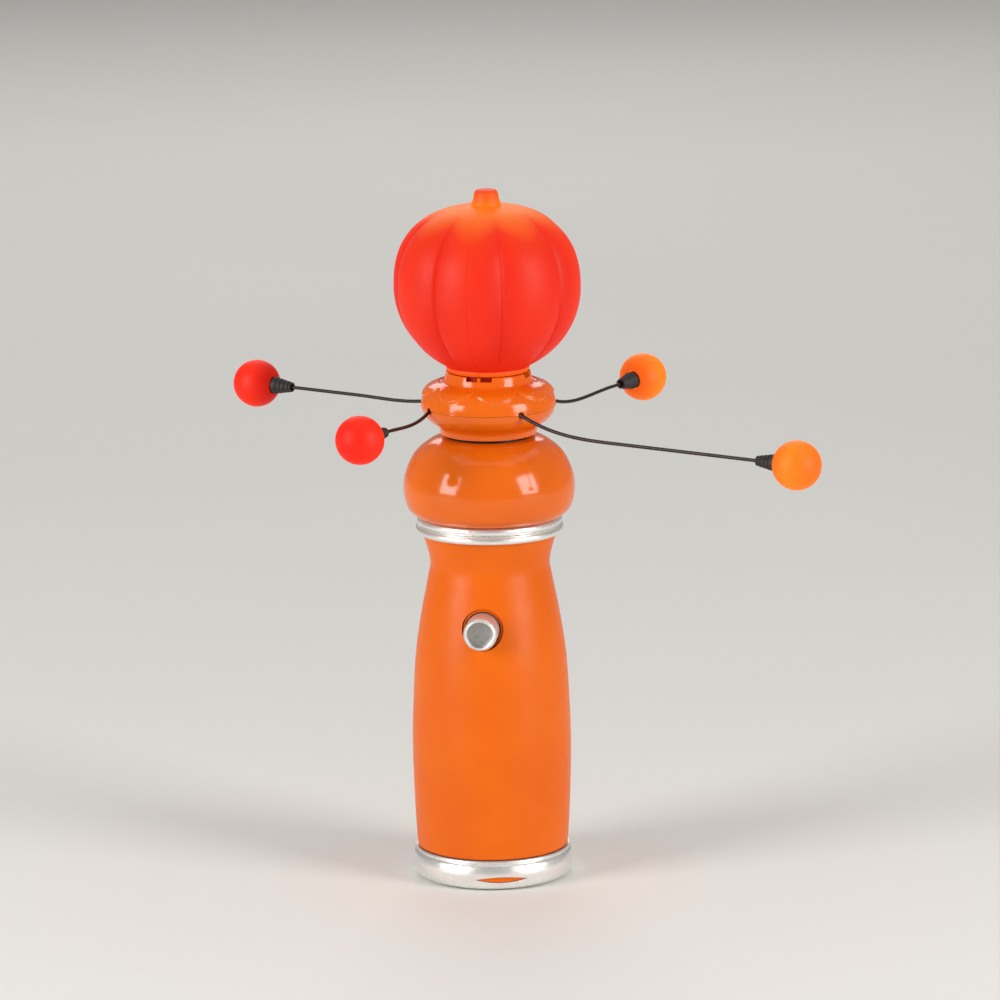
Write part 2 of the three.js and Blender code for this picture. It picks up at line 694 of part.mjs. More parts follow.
add(rotor, 'head_shell_left', headHalf(-1), 'headRed');
add(rotor, 'head_shell_right', headHalf(1), 'headRed');
add(rotor, 'head_stem', headStem(), 'stemOrange');
add(rotor, 'head_led_board', disc(6.8, hubTop + 0.2, hubTop + 1.4, small), 'board');
add(rotor, 'head_led', led(2.5, 8.6), 'ledLens').position.z = hubTop + 1.5;

// ---------------------------------------------------------------- lamps on their leads

// Distance from the exit to a lamp's centre, seen from above.
function leadReach(orbit) {
  const trail = THREE.MathUtils.degToRad(trailAngle);
  return Math.sqrt(orbit ** 2 - (exitRadius * Math.sin(trail)) ** 2) - exitRadius * Math.cos(trail);
}

// How far a lead lies below its exit at a distance out from it: down at first, then level.
function leadDip(distance, drop, levelAt) {
  const u = Math.min(distance / levelAt, 1);
  return exitSlope * levelAt * (u ** 3 - 2 * u ** 2 + u) + drop * (3 * u ** 2 - 2 * u ** 3);
}

function lead(reach, drop) {
  const end = reach - 0.9; // at the lamp's light source
  const steps = Math.round(reach / 3);
  const levelAt = Math.min(bendLength, reach - globeRadius - bootLength + 1);
  const points = [];
  for (let i = 0; i <= steps; i += 1) {
    const distance = (end * i) / steps;
    points.push(new THREE.Vector3(distance, 0, -leadDip(distance, drop, levelAt)));
  }
  return wire(new THREE.CatmullRomCurve3(points), leadRadius, 8, steps);
}

const globeMouth = 2.5; // the globe's opening, where the boot plugs in

// A hollow globe about the origin, open at the bottom.
function lampGlobe() {
  const start = Math.asin(globeMouth / globeRadius);
  const arc = (radius, from, to, steps) => Array.from({ length: steps + 1 }, (_, i) => {
    const angle = from + ((to - from) * i) / steps;
    return [radius * Math.sin(angle), -radius * Math.cos(angle)];
  });
  const shell = globeRadius - 0.9;
  const outer = arc(globeRadius, start, Math.PI, 6);
  const inner = arc(shell, Math.PI, Math.asin(globeMouth / shell), 4);
  outer[outer.length - 1][0] = 0;
  inner[0][0] = 0;
  return turned([...outer, ...inner], tiny);
}

// A rubber boot on the lead, plugged into the globe's mouth.
function lampBoot() {
  const foot = -globeRadius - bootLength + 1.8;
  const bore = leadRadius + gap;
  const plug = globeMouth - gap;
  return turned([[bore, foot], [1.25, foot], [2.1, -globeRadius - 0.2], [plug, -globeRadius + 0.2],
    [plug, -globeRadius + 2], [bore, -globeRadius + 2]], tiny);
}

leadAngles.forEach((degrees, i) => {
  const orbit = lampOrbits[i];
  const reach = leadReach(orbit);
  const drop = lampDrop.least + lampDrop.perOrbit * (orbit - lampOrbits[3]);
  const arm = new THREE.Group();
  const lamp = new THREE.Group();
  const [x, y] = fromFront(exitRadius, degrees);
  arm.position.set(x, y, exitHeight);
  arm.rotation.z = THREE.MathUtils.degToRad(degrees + trailAngle - 90);
  lamp.position.set(reach, 0, -drop);
  lamp.rotation.y = Math.PI / 2; // the lamp's own +Z points away from the spin axis
  arm.add(lamp);
  rotor.add(arm);
  const glow = i < 2 ? 'lampOrange' : 'lampRed';
  add(arm, `lead_${i + 1}`, lead(reach, drop), 'cable');
  add(lamp, `lamp_boot_${i + 1}`, lampBoot(), 'boot');
  add(lamp, `lamp_globe_${i + 1}`, lampGlobe(), glow);
  add(lamp, `lamp_led_${i + 1}`, led(1.5, 5.3), 'ledLens').position.z = -0.6;
});

export default object;
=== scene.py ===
# Light-up spinner wand: the looks of its grip, spinning collar, pumpkin head and four lamps.
# Sizes are in millimetres until a mesh is made. The button faces -Y, and angles are counted
# from there, counter-clockwise from above.
import math

import bmesh
import bpy
from mathutils import Matrix, Vector


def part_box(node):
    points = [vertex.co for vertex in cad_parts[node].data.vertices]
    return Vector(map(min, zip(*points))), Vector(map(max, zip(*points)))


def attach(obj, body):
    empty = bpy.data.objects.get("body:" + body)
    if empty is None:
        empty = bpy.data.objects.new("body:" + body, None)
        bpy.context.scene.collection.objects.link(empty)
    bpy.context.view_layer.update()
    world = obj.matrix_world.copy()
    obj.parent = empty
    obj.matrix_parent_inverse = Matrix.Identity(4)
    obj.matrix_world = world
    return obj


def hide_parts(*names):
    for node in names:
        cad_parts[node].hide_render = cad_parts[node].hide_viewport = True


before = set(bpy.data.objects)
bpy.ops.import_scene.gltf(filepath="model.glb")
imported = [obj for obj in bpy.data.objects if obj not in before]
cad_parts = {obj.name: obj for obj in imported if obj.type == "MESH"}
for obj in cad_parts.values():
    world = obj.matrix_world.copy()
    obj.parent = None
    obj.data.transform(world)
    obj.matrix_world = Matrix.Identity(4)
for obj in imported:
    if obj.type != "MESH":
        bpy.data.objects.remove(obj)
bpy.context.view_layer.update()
mm = 0.001


def spanOf(node):
    low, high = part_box(node)
    return low / mm, high / mm


# ---- camera

shot = {
    "azimuth": 7.0,  # degrees round from the front
    "distance": 1562.7,  # from the spin axis, level
    "height": 433.6,
    "pitch": 12.18,  # degrees down
    "aside": 0.098,  # degrees turned right of the axis
    "roll": 0.6,
    "lens": 229.5,
}


def makeCamera():
    azimuth = math.radians(shot["azimuth"])
    data = bpy.data.cameras.new("camera")
    data.lens = shot["lens"]
    data.clip_end = 20
    camera = bpy.data.objects.new("camera", data)
    bpy.context.scene.collection.objects.link(camera)
    spot = Vector((shot["distance"] * math.sin(azimuth), -shot["distance"] * math.cos(azimuth), shot["height"]))
    turn = Matrix.Rotation(azimuth - math.radians(shot["aside"]), 4, "Z")
    tilt = Matrix.Rotation(math.radians(90 - shot["pitch"]), 4, "X")
    roll = Matrix.Rotation(-math.radians(shot["roll"]), 4, "Z")
    camera.matrix_world = Matrix.Translation(spot * mm) @ turn @ tilt @ roll
    bpy.context.scene.camera = camera


makeCamera()
print("camera placed")

# ---- nodes and meshes


def linear(hexColour):
    parts = [int(hexColour[i:i + 2], 16) / 255 for i in (1, 3, 5)]
    return (*[c / 12.92 if c <= 0.04045 else ((c + 0.055) / 1.055) ** 2.4 for c in parts], 1.0)


# One node, with its settings and its links. A ramp's stops are [place, colour] pairs.
def addNode(tree, kind, settings=None, links=None):
    node = tree.nodes.new(kind)
    for name, value in (settings or {}).items():
        if name == "stops":
            for i, (place, colour) in enumerate(value):
                stop = node.color_ramp.elements[i] if i < 2 else node.color_ramp.elements.new(place)
                stop.position = place
                stop.color = linear(colour)
        elif name in node.inputs:
            node.inputs[name].default_value = value
        else:
            setattr(node, name, value)
    for name, source in (links or {}).items():
        tree.links.new(source, node.inputs[name])
    return node


# Closed skin through a row of rings that have the same number of points, in millimetres.
def loft(name, rings, joined):
    count = len(rings[0])
    body = bmesh.new()
    corners = [[body.verts.new(Vector(point) * mm) for point in ring] for ring in rings]
    last = len(rings) if joined else len(rings) - 1
    for i in range(last):
        near, far = corners[i], corners[(i + 1) % len(rings)]
        for k in range(count):
            body.faces.new((near[k], near[(k + 1) % count], far[(k + 1) % count], far[k]))
    if not joined:
        body.faces.new(corners[0])
        body.faces.new(list(reversed(corners[-1])))
    bmesh.ops.remove_doubles(body, verts=body.verts, dist=2e-6)
    bmesh.ops.dissolve_degenerate(body, edges=body.edges, dist=1e-7)
    loose = [edge for edge in body.edges if not edge.link_faces]
    bmesh.ops.delete(body, geom=loose, context="EDGES")
    bmesh.ops.recalc_face_normals(body, faces=body.faces)
    mesh = bpy.data.meshes.new(name)
    body.to_mesh(mesh)
    body.free()
    piece = bpy.data.objects.new(name, mesh)
    bpy.context.scene.collection.objects.link(piece)
    return piece


# Turns a closed [radius, height] profile about Z. shaped may move each point at its angle.
def revolve(name, profile, start=0.0, sweep=360.0, steps=144, shaped=None):
    whole = sweep >= 360
    rings = []
    for i in range(steps if whole else steps + 1):
        degrees = start + sweep * i / steps
        angle = math.radians(degrees)
        ring = []
        for radius, height in profile:
            if shaped:
                radius, height = shaped(radius, height, degrees)
            ring.append((radius * math.sin(angle), -radius * math.cos(angle), height))
        rings.append(ring)
    return loft(name, rings, whole)


# Points on a smooth curve through a few stations.
def smooth(stations, pieces):
    points = []
    final = len(stations) - 1
    for i in range(pieces + 1):
        place = final * i / pieces
        k = min(int(place), final - 1)
        t = place - k
        a, b, c, d = [stations[min(max(k + j, 0), final)] for j in (-1, 0, 1, 2)]
        point = []
        for n in (0, 1):
            rise, fall = (c[n] - a[n]) / 2, (d[n] - b[n]) / 2
            cubic = (2 * b[n] - 2 * c[n] + rise + fall) * t ** 3
            point.append(cubic + (3 * c[n] - 3 * b[n] - 2 * rise - fall) * t ** 2 + rise * t + b[n])
        points.append(tuple(point))
    return points


# The same curve moved in by a wall's thickness, listed from its far end.
def inside(points, thickness):
    moved = []
    for i, (radius, height) in enumerate(points):
        before, after = points[max(i - 1, 0)], points[min(i + 1, len(points) - 1)]
        along = Vector((after[0] - before[0], after[1] - before[1])).normalized()
        moved.append((radius - along.y * thickness, height + along.x * thickness))
    return moved[::-1]


# Rounds the corners of an outline: a corner is (radius, height, size of its rounding).
def eased(outline, steps=4):
    points = []
    for i, corner in enumerate(outline):
        if len(corner) == 2:
            points.append(corner)
            continue
        here = Vector(corner[:2])
        before = Vector(outline[i - 1][:2]) - here
        after = Vector(outline[(i + 1) % len(outline)][:2]) - here
        size = min(corner[2], before.length * 0.49, after.length * 0.49)
        entry, exit = here + before.normalized() * size, here + after.normalized() * size
        for k in range(steps + 1):
            t = k / steps
            points.append(tuple(entry * (1 - t) ** 2 + here * 2 * t * (1 - t) + exit * t ** 2))
    return points


# A plain cylinder between two points.
def rod(radius, low, high, steps=48):
    axis = Vector(high) - Vector(low)
    turn = axis.to_track_quat("Z", "Y")
    rings = []
    for end in (low, high):
        ring = [turn @ Vector((radius * math.cos(a), radius * math.sin(a), 0)) + Vector(end)
                for a in (2 * math.pi * i / steps for i in range(steps))]
        rings.append(ring)
    return loft("rod", rings, False)


# A plain block, turned about Z through the origin.
def block(centre, size, degrees=0.0):
    turn = Matrix.Rotation(math.radians(degrees), 3, "Z")
    rings = []
    for x in (-0.5, 0.5):
        corners = [(x, -0.5, -0.5), (x, 0.5, -0.5), (x, 0.5, 0.5), (x, -0.5, 0.5)]
        rings.append([turn @ Vector([c + s * k for c, s, k in zip(centre, size, corner)]) for corner in corners])
    return loft("block", rings, False)


# Makes a piece's modifiers part of its mesh.
def settle(piece):
    view = bpy.context.evaluated_depsgraph_get()
    settled = bpy.data.meshes.new_from_object(piece.evaluated_get(view))
    piece.modifiers.clear()
    piece.data = settled


# Cuts tools out of a piece, adds them to it or keeps what they share. The tools are used up.
def carve(piece, tools, how="DIFFERENCE"):
    for tool in tools:
        change = piece.modifiers.new("carve", "BOOLEAN")
        change.operation = how
        change.object = tool
        change.solver = "EXACT"
        bpy.context.view_layer.update()
        settle(piece)
        bpy.data.objects.remove(tool)
    return piece


def placed(piece, matrix):
    piece.data.transform(matrix)
    return piece


# Stores a number from 0 to 1 at each corner of a piece, for its material.
def grade(piece, rule):
    layer = piece.data.attributes.new("grade", "FLOAT", "POINT")
    for i, corner in enumerate(piece.data.vertices):
        layer.data[i].value = min(max(rule(corner.co / mm), 0.0), 1.0)
    return piece


# Gives a piece its finish, its body and the nodes that it stands for.
def fit(piece, body, material, nodes, sharp=38):
    piece.name = nodes[0] + "_looks"
    piece.data.materials.clear()
    piece.data.materials.append(material)
    piece.data.polygons.foreach_set("use_smooth", [True] * len(piece.data.polygons))
    piece.data.set_sharp_from_angle(angle=math.radians(sharp))
    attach(piece, body)
    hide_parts(*nodes)
    return piece


# ---- materials


def perMm(size):  # a noise pattern's scale for spots of that many millimetres
    return 1 / (size * mm)


def startMaterial(name, sockets):
    material = bpy.data.materials.new(name)
    material.use_nodes = True
    shader = material.node_tree.nodes["Principled BSDF"]
    for socket, value in sockets.items():
        shader.inputs[socket].default_value = value
    return material, material.node_tree, shader


# The unevenness that every real surface has: tone, gloss and fine relief.
def wear(tree, shader, look):
    place = addNode(tree, "ShaderNodeTexCoord").outputs["Object"]
    patches = addNode(tree, "ShaderNodeTexNoise", {"Scale": perMm(look["patch"]), "Detail": 4.0},
                      {"Vector": place})
    tone = addNode(tree, "ShaderNodeValToRGB", {"stops": [(0.3, look["tones"][0]), (0.7, look["tones"][1])]},
                   {"Fac": patches.outputs["Fac"]})
    tree.links.new(tone.outputs["Color"], shader.inputs["Base Color"])
    grain = addNode(tree, "ShaderNodeTexNoise", {"Scale": perMm(look["grain"]), "Detail": 6.0, "Roughness": 0.6},
                    {"Vector": place})
    gloss = addNode(tree, "ShaderNodeMapRange",
                    {"From Min": 0.35, "From Max": 0.65, "To Min": look["rough"][0], "To Max": look["rough"][1]},
                    {"Value": grain.outputs["Fac"]})
    tree.links.new(gloss.outputs["Result"], shader.inputs["Roughness"])
    relief = addNode(tree, "ShaderNodeBump", {"Strength": 1.0, "Distance": look["relief"] * mm},
                     {"Height": grain.outputs["Fac"]})
    tree.links.new(relief.outputs["Normal"], shader.inputs["Normal"])
    return place, grain, relief


# Moulded orange ABS. From a polished mould it has small, sharp, wet-looking highlights.
def makeGlossAbs():
    material, tree, shader = startMaterial("orange ABS, gloss moulded",
                                           {"IOR": 1.53, "Specular IOR Level": 0.36})
    wear(tree, shader, {"tones": ("#d95e09", "#df660c"), "patch": 16, "grain": 5, "rough": (0.12, 0.17),
                        "relief": 0.02})
    return material


# The same plastic from a finely blasted mould, made for the hand: broad, faint, soft highlights.
def makeSatinAbs():
    material, tree, shader = startMaterial("orange ABS, satin moulded",
                                           {"IOR": 1.53, "Specular IOR Level": 0.17})
    place, grain, relief = wear(tree, shader, {"tones": ("#d95d08", "#df650b"), "patch": 18, "grain": 4,
                                               "rough": (0.32, 0.4), "relief": 0.02})
    pits = addNode(tree, "ShaderNodeTexNoise", {"Scale": perMm(0.35), "Detail": 2.0}, {"Vector": place})
    skin = addNode(tree, "ShaderNodeBump", {"Strength": 0.6, "Distance": 0.006 * mm},
                   {"Height": pits.outputs["Fac"], "Normal": relief.outputs["Normal"]})
    tree.links.new(skin.outputs["Normal"], shader.inputs["Normal"])
    return material


# Satin silver paint on plastic: fine metal flakes that soften and break up each highlight.
def makeSilverPaint():
    material, tree, shader = startMaterial("silver paint, satin", {"Metallic": 0.86})
    place, grain, relief = wear(tree, shader, {"tones": ("#f0eeea", "#f6f5f2"), "patch": 6, "grain": 1.1,
                                               "rough": (0.27, 0.34), "relief": 0.003})
    flakes = addNode(tree, "ShaderNodeTexVoronoi", {"Scale": perMm(0.3)}, {"Vector": place})
    tilt = addNode(tree, "ShaderNodeBump", {"Strength": 0.25, "Distance": 0.0015 * mm},
                   {"Height": flakes.outputs["Distance"], "Normal": relief.outputs["Normal"]})
    tree.links.new(tilt.outputs["Normal"], shader.inputs["Normal"])
    return material


# The same silver paint on the button. Its face gets a darker, mottled grey as a painted reflection of dark
# surroundings, and its rim stays bright.
def makeButtonSilverPaintedReflection():
    material, tree, shader = startMaterial("silver paint, face darkened as painted reflection", {"Metallic": 0.8})
    place, grain, relief = wear(tree, shader, {"tones": ("#8f8d88", "#a3a19c"), "patch": 1.6, "grain": 0.5,
                                               "rough": (0.34, 0.5), "relief": 0.012})
    darkFaceMask = addNode(tree, "ShaderNodeAttribute", {"attribute_name": "grade"})
    cloud = addNode(tree, "ShaderNodeTexNoise", {"Scale": perMm(1.3), "Detail": 5.0}, {"Vector": place})
    paintedReflectionMottle = addNode(tree, "ShaderNodeMath", {"operation": "MULTIPLY"},
                     {0: darkFaceMask.outputs["Fac"], 1: cloud.outputs["Fac"]})
    # Painted reflection: the face (grade 1) turns a mottled dark grey that stands for dark surroundings mirrored
    # in it, and the rim (grade 0) stays light.
    tone = addNode(tree, "ShaderNodeValToRGB", {"stops": [(0.0, "#e2e0dc"), (0.62, "#9b9994"), (0.3, "#8a8883")]},
                   {"Fac": paintedReflectionMottle.outputs["Value"]})
    tree.links.new(tone.outputs["Color"], shader.inputs["Base Color"])
    return material


# Frosted polycarbonate lit from inside: it glows evenly, with its tone following "grade".
def makeGlowing(name, tones, glow, strength):
    material, tree, shader = startMaterial(name, {"IOR": 1.58, "Specular IOR Level": 0.15,
                                                  "Emission Strength": strength})
    place, grain, relief = wear(tree, shader, {"tones": tones, "patch": 9, "grain": 0.8, "rough": (0.44, 0.56),
                                               "relief": 0.012})
    depth = addNode(tree, "ShaderNodeAttribute", {"attribute_name": "grade"})
    cloud = addNode(tree, "ShaderNodeTexNoise", {"Scale": perMm(11), "Detail": 3.0}, {"Vector": place})
    drift = addNode(tree, "ShaderNodeMath", {"operation": "MULTIPLY_ADD"}, {0: cloud.outputs["Fac"],
                                                                            2: depth.outputs["Fac"]})
    drift.inputs[1].default_value = 0.06
    colour = addNode(tree, "ShaderNodeValToRGB", {"stops": glow}, {"Fac": drift.outputs["Value"]})
    tree.links.new(colour.outputs["Color"], shader.inputs["Emission Color"])
    return material


# Clear red epoxy of an LED: glossy, and bright where the chip shines through.
def makeLedLens():
    material, tree, shader = startMaterial("LED epoxy, cast", {"IOR": 1.5, "Emission Strength": 1.2})
    place, grain, relief = wear(tree, shader, {"tones": ("#ff5a36", "#ff7448"), "patch": 2, "grain": 1.5,
                                               "rough": (0.06, 0.14), "relief": 0.004})
    glow = addNode(tree, "ShaderNodeValToRGB", {"stops": [(0.35, "#f0300c"), (0.7, "#ff8a40")]},
                   {"Fac": grain.outputs["Fac"]})
    tree.links.new(glow.outputs["Color"], shader.inputs["Emission Color"])
    return material


# Extruded PVC sheath: dark brown, half matt, faintly uneven.
def makeCableSheath():
    material, tree, shader = startMaterial("PVC sheath, extruded", {"IOR": 1.52, "Specular IOR Level": 0.3})
    wear(tree, shader, {"tones": ("#1c0f0b", "#281610"), "patch": 5, "grain": 0.6, "rough": (0.3, 0.45),
                        "relief": 0.02})
    return material


# Moulded rubber: near black, dull, with a fine tooth.
def makeBootRubber():
    material, tree, shader = startMaterial("rubber, moulded", {"IOR": 1.52})
    wear(tree, shader, {"tones": ("#1a1716", "#262220"), "patch": 4, "grain": 0.5, "rough": (0.5, 0.7),
                        "relief": 0.02})
    return material


# Black ABS from a spark-eroded mould: a matt, pebbled grain.
def makeInnerPlastic():
    material, tree, shader = startMaterial("black ABS, spark-grained", {"IOR": 1.53})
    wear(tree, shader, {"tones": ("#1e1e21", "#2a2a2e"), "patch": 12, "grain": 0.7, "rough": (0.45, 0.65),
                        "relief": 0.04})
    return material


# Glass-epoxy board under solder mask: green, with the woven cloth showing through.
def makeBoardLaminate():
    material, tree, shader = startMaterial("FR4 laminate, solder masked", {"IOR": 1.55})
    place, grain, relief = wear(tree, shader, {"tones": ("#1b633a", "#237445"), "patch": 3, "grain": 0.9,
                                               "rough": (0.25, 0.4), "relief": 0.004})
    cloth = addNode(tree, "ShaderNodeTexChecker", {"Scale": perMm(0.8)}, {"Vector": place})
    weave = addNode(tree, "ShaderNodeBump", {"Strength": 0.6, "Distance": 0.01 * mm},
                    {"Height": cloth.outputs["Fac"], "Normal": relief.outputs["Normal"]})
    tree.links.new(weave.outputs["Normal"], shader.inputs["Normal"])
    return material


# A bare metal: its tone drifts, and fine lines stretch along one way where it was drawn or brushed.
def makeMetal(name, tones, rough, stretch):
    material, tree, shader = startMaterial(name, {"Metallic": 1.0})
    place, grain, relief = wear(tree, shader, {"tones": tones, "patch": 7, "grain": 1.6, "rough": rough,
                                               "relief": 0.004})
    line = addNode(tree, "ShaderNodeMapping", {"Scale": stretch}, {"Vector": place})
    lines = addNode(tree, "ShaderNodeTexNoise", {"Scale": perMm(0.4), "Detail": 3.0},
                    {"Vector": line.outputs["Vector"]})
    scratch = addNode(tree, "ShaderNodeBump", {"Strength": 0.5, "Distance": 0.004 * mm},
                      {"Height": lines.outputs["Fac"], "Normal": relief.outputs["Normal"]})
    tree.links.new(scratch.outputs["Normal"], shader.inputs["Normal"])
    return material


# Shrink-wrapped cell: a dark printed film with a lighter band near one end, no lettering.
def makeCellJacket():
    material, tree, shader = startMaterial("PVC film, shrink-wrapped", {"IOR": 1.54, "Metallic": 0.15})
    place, grain, relief = wear(tree, shader, {"tones": ("#39424c", "#454f5a"), "patch": 8, "grain": 2.5,
                                               "rough": (0.22, 0.36), "relief": 0.02})
    low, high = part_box("battery_cell_1")
    height = addNode(tree, "ShaderNodeSeparateXYZ", None, {"Vector": place})
    band = addNode(tree, "ShaderNodeMapRange", {"From Min": low.z, "From Max": high.z},
                   {"Value": height.outputs["Z"]})
    film = addNode(tree, "ShaderNodeValToRGB",
                   {"stops": [(0.0, "#3a434d"), (1.0, "#b9bcc0"), (0.7, "#3f4852"), (0.71, "#b0783c"),
                              (0.94, "#b8803f"), (0.95, "#b9bcc0")]},
                   {"Fac": band.outputs["Result"]})
    tree.links.new(film.outputs["Color"], shader.inputs["Base Color"])
    return material


glossAbs = makeGlossAbs()
satinAbs = makeSatinAbs()
silverPaint = makeSilverPaint()
buttonSilverPaintedReflection = makeButtonSilverPaintedReflection()
headGlow = makeGlowing("red polycarbonate, frosted", ("#8e1007", "#98160a"),
                       [(0.0, "#2c0402"), (1.0, "#f6820e"), (0.25, "#cc1606"), (0.6, "#e42a0a"),
                        (0.75, "#e8380c")], 0.72)
stemGlow = makeGlowing("orange polycarbonate, frosted", ("#a8340a", "#b03e0d"),
                       [(0.0, "#f48a10"), (1.0, "#d8380c")], 0.62)
lampOrange = makeGlowing("orange polycarbonate globe, frosted", ("#c8480a", "#d0520e"),
                         [(0.0, "#b83a04"), (1.0, "#e8640a"), (0.55, "#f88a18")], 0.7)
lampRed = makeGlowing("red polycarbonate globe, frosted", ("#a81208", "#b4180c"),
                      [(0.0, "#8c0c04"), (1.0, "#d81806"), (0.55, "#f02c10")], 0.75)
ledLens = makeLedLens()
cableSheath = makeCableSheath()
bootRubber = makeBootRubber()
innerPlastic = makeInnerPlastic()
boardLaminate = makeBoardLaminate()
platedSteel = makeMetal("steel, nickel plated", ("#b0b2b4", "#c2c4c6"), (0.22, 0.34), (1, 1, 0.1))
phosphorBronze = makeMetal("phosphor bronze strip, rolled", ("#b86f42", "#c98552"), (0.25, 0.38), (0.1, 1, 1))
sinteredBronze = makeMetal("bronze, sintered", ("#9c6f38", "#b08446"), (0.35, 0.5), (1, 1, 1))
cellJacket = makeCellJacket()
print("materials made")

# ---- leads, which are the wand's only cords

collar = {
    "turn": -6.0,  # degrees that the spinning top stands turned from the front
    "exitRadius": 17.3,  # each lead hinges here
    "exitHeight": 120.5,
    "firstExit": 37.0,  # degrees from the front; the others follow at 90
}
leads = {
    "orbits": (94.0, 61.6, 76.4, 46.5),  # radius of each lamp's circle
    "lag": 27.0,  # degrees behind the radius
    "slope": 24.0,  # degrees down where it leaves the collar
    "bend": 30.0,  # straight again this far out
    "leastDrop": 1.5,
    "dropPerOrbit": 0.053,
    "diameter": 0.9,
    "hidden": 0.6,  # length inside the hole
    "sides": 16,
}
lamps = {"radius": 6.2, "boot": 6.6, "source": 0.9}


# Where arm number k leaves the collar, its level direction, its lamp's distance out and drop.
def armOf(k):
    degrees = collar["firstExit"] + 90 * k
    angle, lag = math.radians(degrees), math.radians(leads["lag"])
    start = Vector((collar["exitRadius"] * math.sin(angle), -collar["exitRadius"] * math.cos(angle),
                    collar["exitHeight"]))
    heading = math.radians(degrees + leads["lag"] - 90)
    orbit = leads["orbits"][k]
    reach = math.sqrt(orbit ** 2 - (collar["exitRadius"] * math.sin(lag)) ** 2)
    reach -= collar["exitRadius"] * math.cos(lag)
    drop = leads["leastDrop"] + leads["dropPerOrbit"] * (orbit - min(leads["orbits"]))
    return start, heading, reach, drop


# Centreline of a lead: down at first, then level, and straight on inside the collar.
def leadPath(k):
    start, heading, reach, drop = armOf(k)
    levelAt = min(leads["bend"], reach - lamps["radius"] - lamps["boot"] + 1)
    slope = math.tan(math.radians(leads["slope"]))
    along = Vector((math.cos(heading), math.sin(heading), 0))
    end = reach - lamps["source"]
    path = []
    steps = 40
    for i in range(steps + 1):
        distance = -leads["hidden"] + (end + leads["hidden"]) * i / steps
        u = min(max(distance, 0) / levelAt, 1)
        dip = slope * levelAt * (u ** 3 - 2 * u ** 2 + u) + drop * (3 * u ** 2 - 2 * u ** 3)
        dip += slope * min(distance, 0)
        path.append(start + along * distance - Vector((0, 0, dip)))
    return path


# An empty geometry tree with its inputs, which are (name, kind) pairs after the geometry.
def startTree(name, inputs):
    tree = bpy.data.node_groups.new(name, "GeometryNodeTree")
    for label, kind in (("Geometry", "Geometry"), *inputs, ("Material", "Material")):
        tree.interface.new_socket(label, in_out="INPUT", socket_type="NodeSocket" + kind)
    tree.interface.new_socket("Geometry", in_out="OUTPUT", socket_type="NodeSocketGeometry")
    return tree, addNode(tree, "NodeGroupInput").outputs


def endTree(tree, geometry, material):
    solid = addNode(tree, "GeometryNodeRealizeInstances", None, {"Geometry": geometry})
    dyed = addNode(tree, "GeometryNodeSetMaterial", None,
                   {"Geometry": solid.outputs["Geometry"], "Material": material})
    addNode(tree, "NodeGroupOutput", None, {"Geometry": dyed.outputs["Geometry"]})
    return tree


# The tree that draws a round cord along a row of points.
def makeCordTree():
    tree, given = startTree("round cord along a path", [("Radius", "Float"), ("Sides", "Int")])
    path = addNode(tree, "GeometryNodeMeshToCurve", None, {"Mesh": given["Geometry"]})
    ring = addNode(tree, "GeometryNodeCurvePrimitiveCircle", None,
                   {"Radius": given["Radius"], "Resolution": given["Sides"]})
    skin = addNode(tree, "GeometryNodeCurveToMesh", {"Fill Caps": True},
                   {"Curve": path.outputs["Curve"], "Profile Curve": ring.outputs["Curve"]})
    return endTree(tree, skin.outputs["Mesh"], given["Material"])


# Runs a tree on a piece, with its inputs set by name, and keeps the plain mesh that it makes.
def grow(piece, tree, inputs):
    change = piece.modifiers.new("grow", "NODES")
    change.node_group = tree
    sockets = {item.name: item.identifier for item in tree.interface.items_tree if item.in_out == "INPUT"}
    for name, value in inputs.items():
        change[sockets[name]] = value
    piece.update_tag()
    bpy.context.view_layer.update()
    settle(piece)
    return piece


cordTree = makeCordTree()


def cordAlong(name, path, diameter, sides, material):
    mesh = bpy.data.meshes.new(name)
    mesh.from_pydata([point * mm for point in path], [(i, i + 1) for i in range(len(path) - 1)], [])
    piece = bpy.data.objects.new(name, mesh)
    bpy.context.scene.collection.objects.link(piece)
    grow(piece, cordTree, {"Radius": diameter / 2 * mm, "Sides": sides, "Material": material})
    return piece


def makeLead(k):
    path = leadPath(k)
    piece = cordAlong(f"lead_{k + 1}", path, leads["diameter"], leads["sides"], cableSheath)
    fit(piece, f"arm_{k + 1}", cableSheath, [f"lead_{k + 1}"])


for arm in range(4):
    makeLead(arm)
print("leads made")

# ---- grip

grip = {
    "side": ((19.0, 8.0), (19.6, 18.5), (20.0, 33.0), (19.7, 45.0), (18.9, 57.6), (17.3, 68.3), (15.7, 76.5),
             (15.05, 81.6), (16.8, 88.3)),
    "wall": 1.8,
    "spigot": (16.2, 17.8, 1.3),  # bore, radius and foot of the part inside the foot ring
    "neck": (12.9, 14.6, 94.8),  # bore, radius and top of the part inside the trim ring
    "motorRoom": 77.0,  # the neck's straight bore starts here
    "parting": 0.05,  # each half stops this short of the middle plane
    "buttonHole": 5.2,
    "tab": (6.2, 0.6, 19.9),  # half width, rise and reach of the tab that snaps into the foot ring
    "screwX": 10.2,
    "screwZ": 70.0,
    "screwHole": 1.3,
    "screwSink": 2.4,
    "screwSeat": 9.0,  # the sinks' floor, behind the middle plane
    "frontBoss": 2.6,
    "rearBoss": 3.4,
    "bossGap": 0.3,  # from each boss to the middle plane
    "bossReach": 16.0,
}
footRing = {
    "side": ((17.1, 0.0), (19.4, 0.9), (20.35, 3.8), (20.0, 6.0), (19.45, 6.75)),
    "lip": ((19.3, 6.85), (19.5, 7.05), (19.52, 7.4), (19.3, 7.7)),  # a thin bead round its top
    "bore": 18.1,
    "ledge": (16.9, 1.0),
    "slotTurn": 13.0,  # degrees round from the front
    "slotZ": 3.1,
    "slotHalf": 6.5,
    "slotRise": 0.75,
}
buttonZ = (spanOf("button_cap")[0].z + spanOf("button_cap")[1].z) / 2


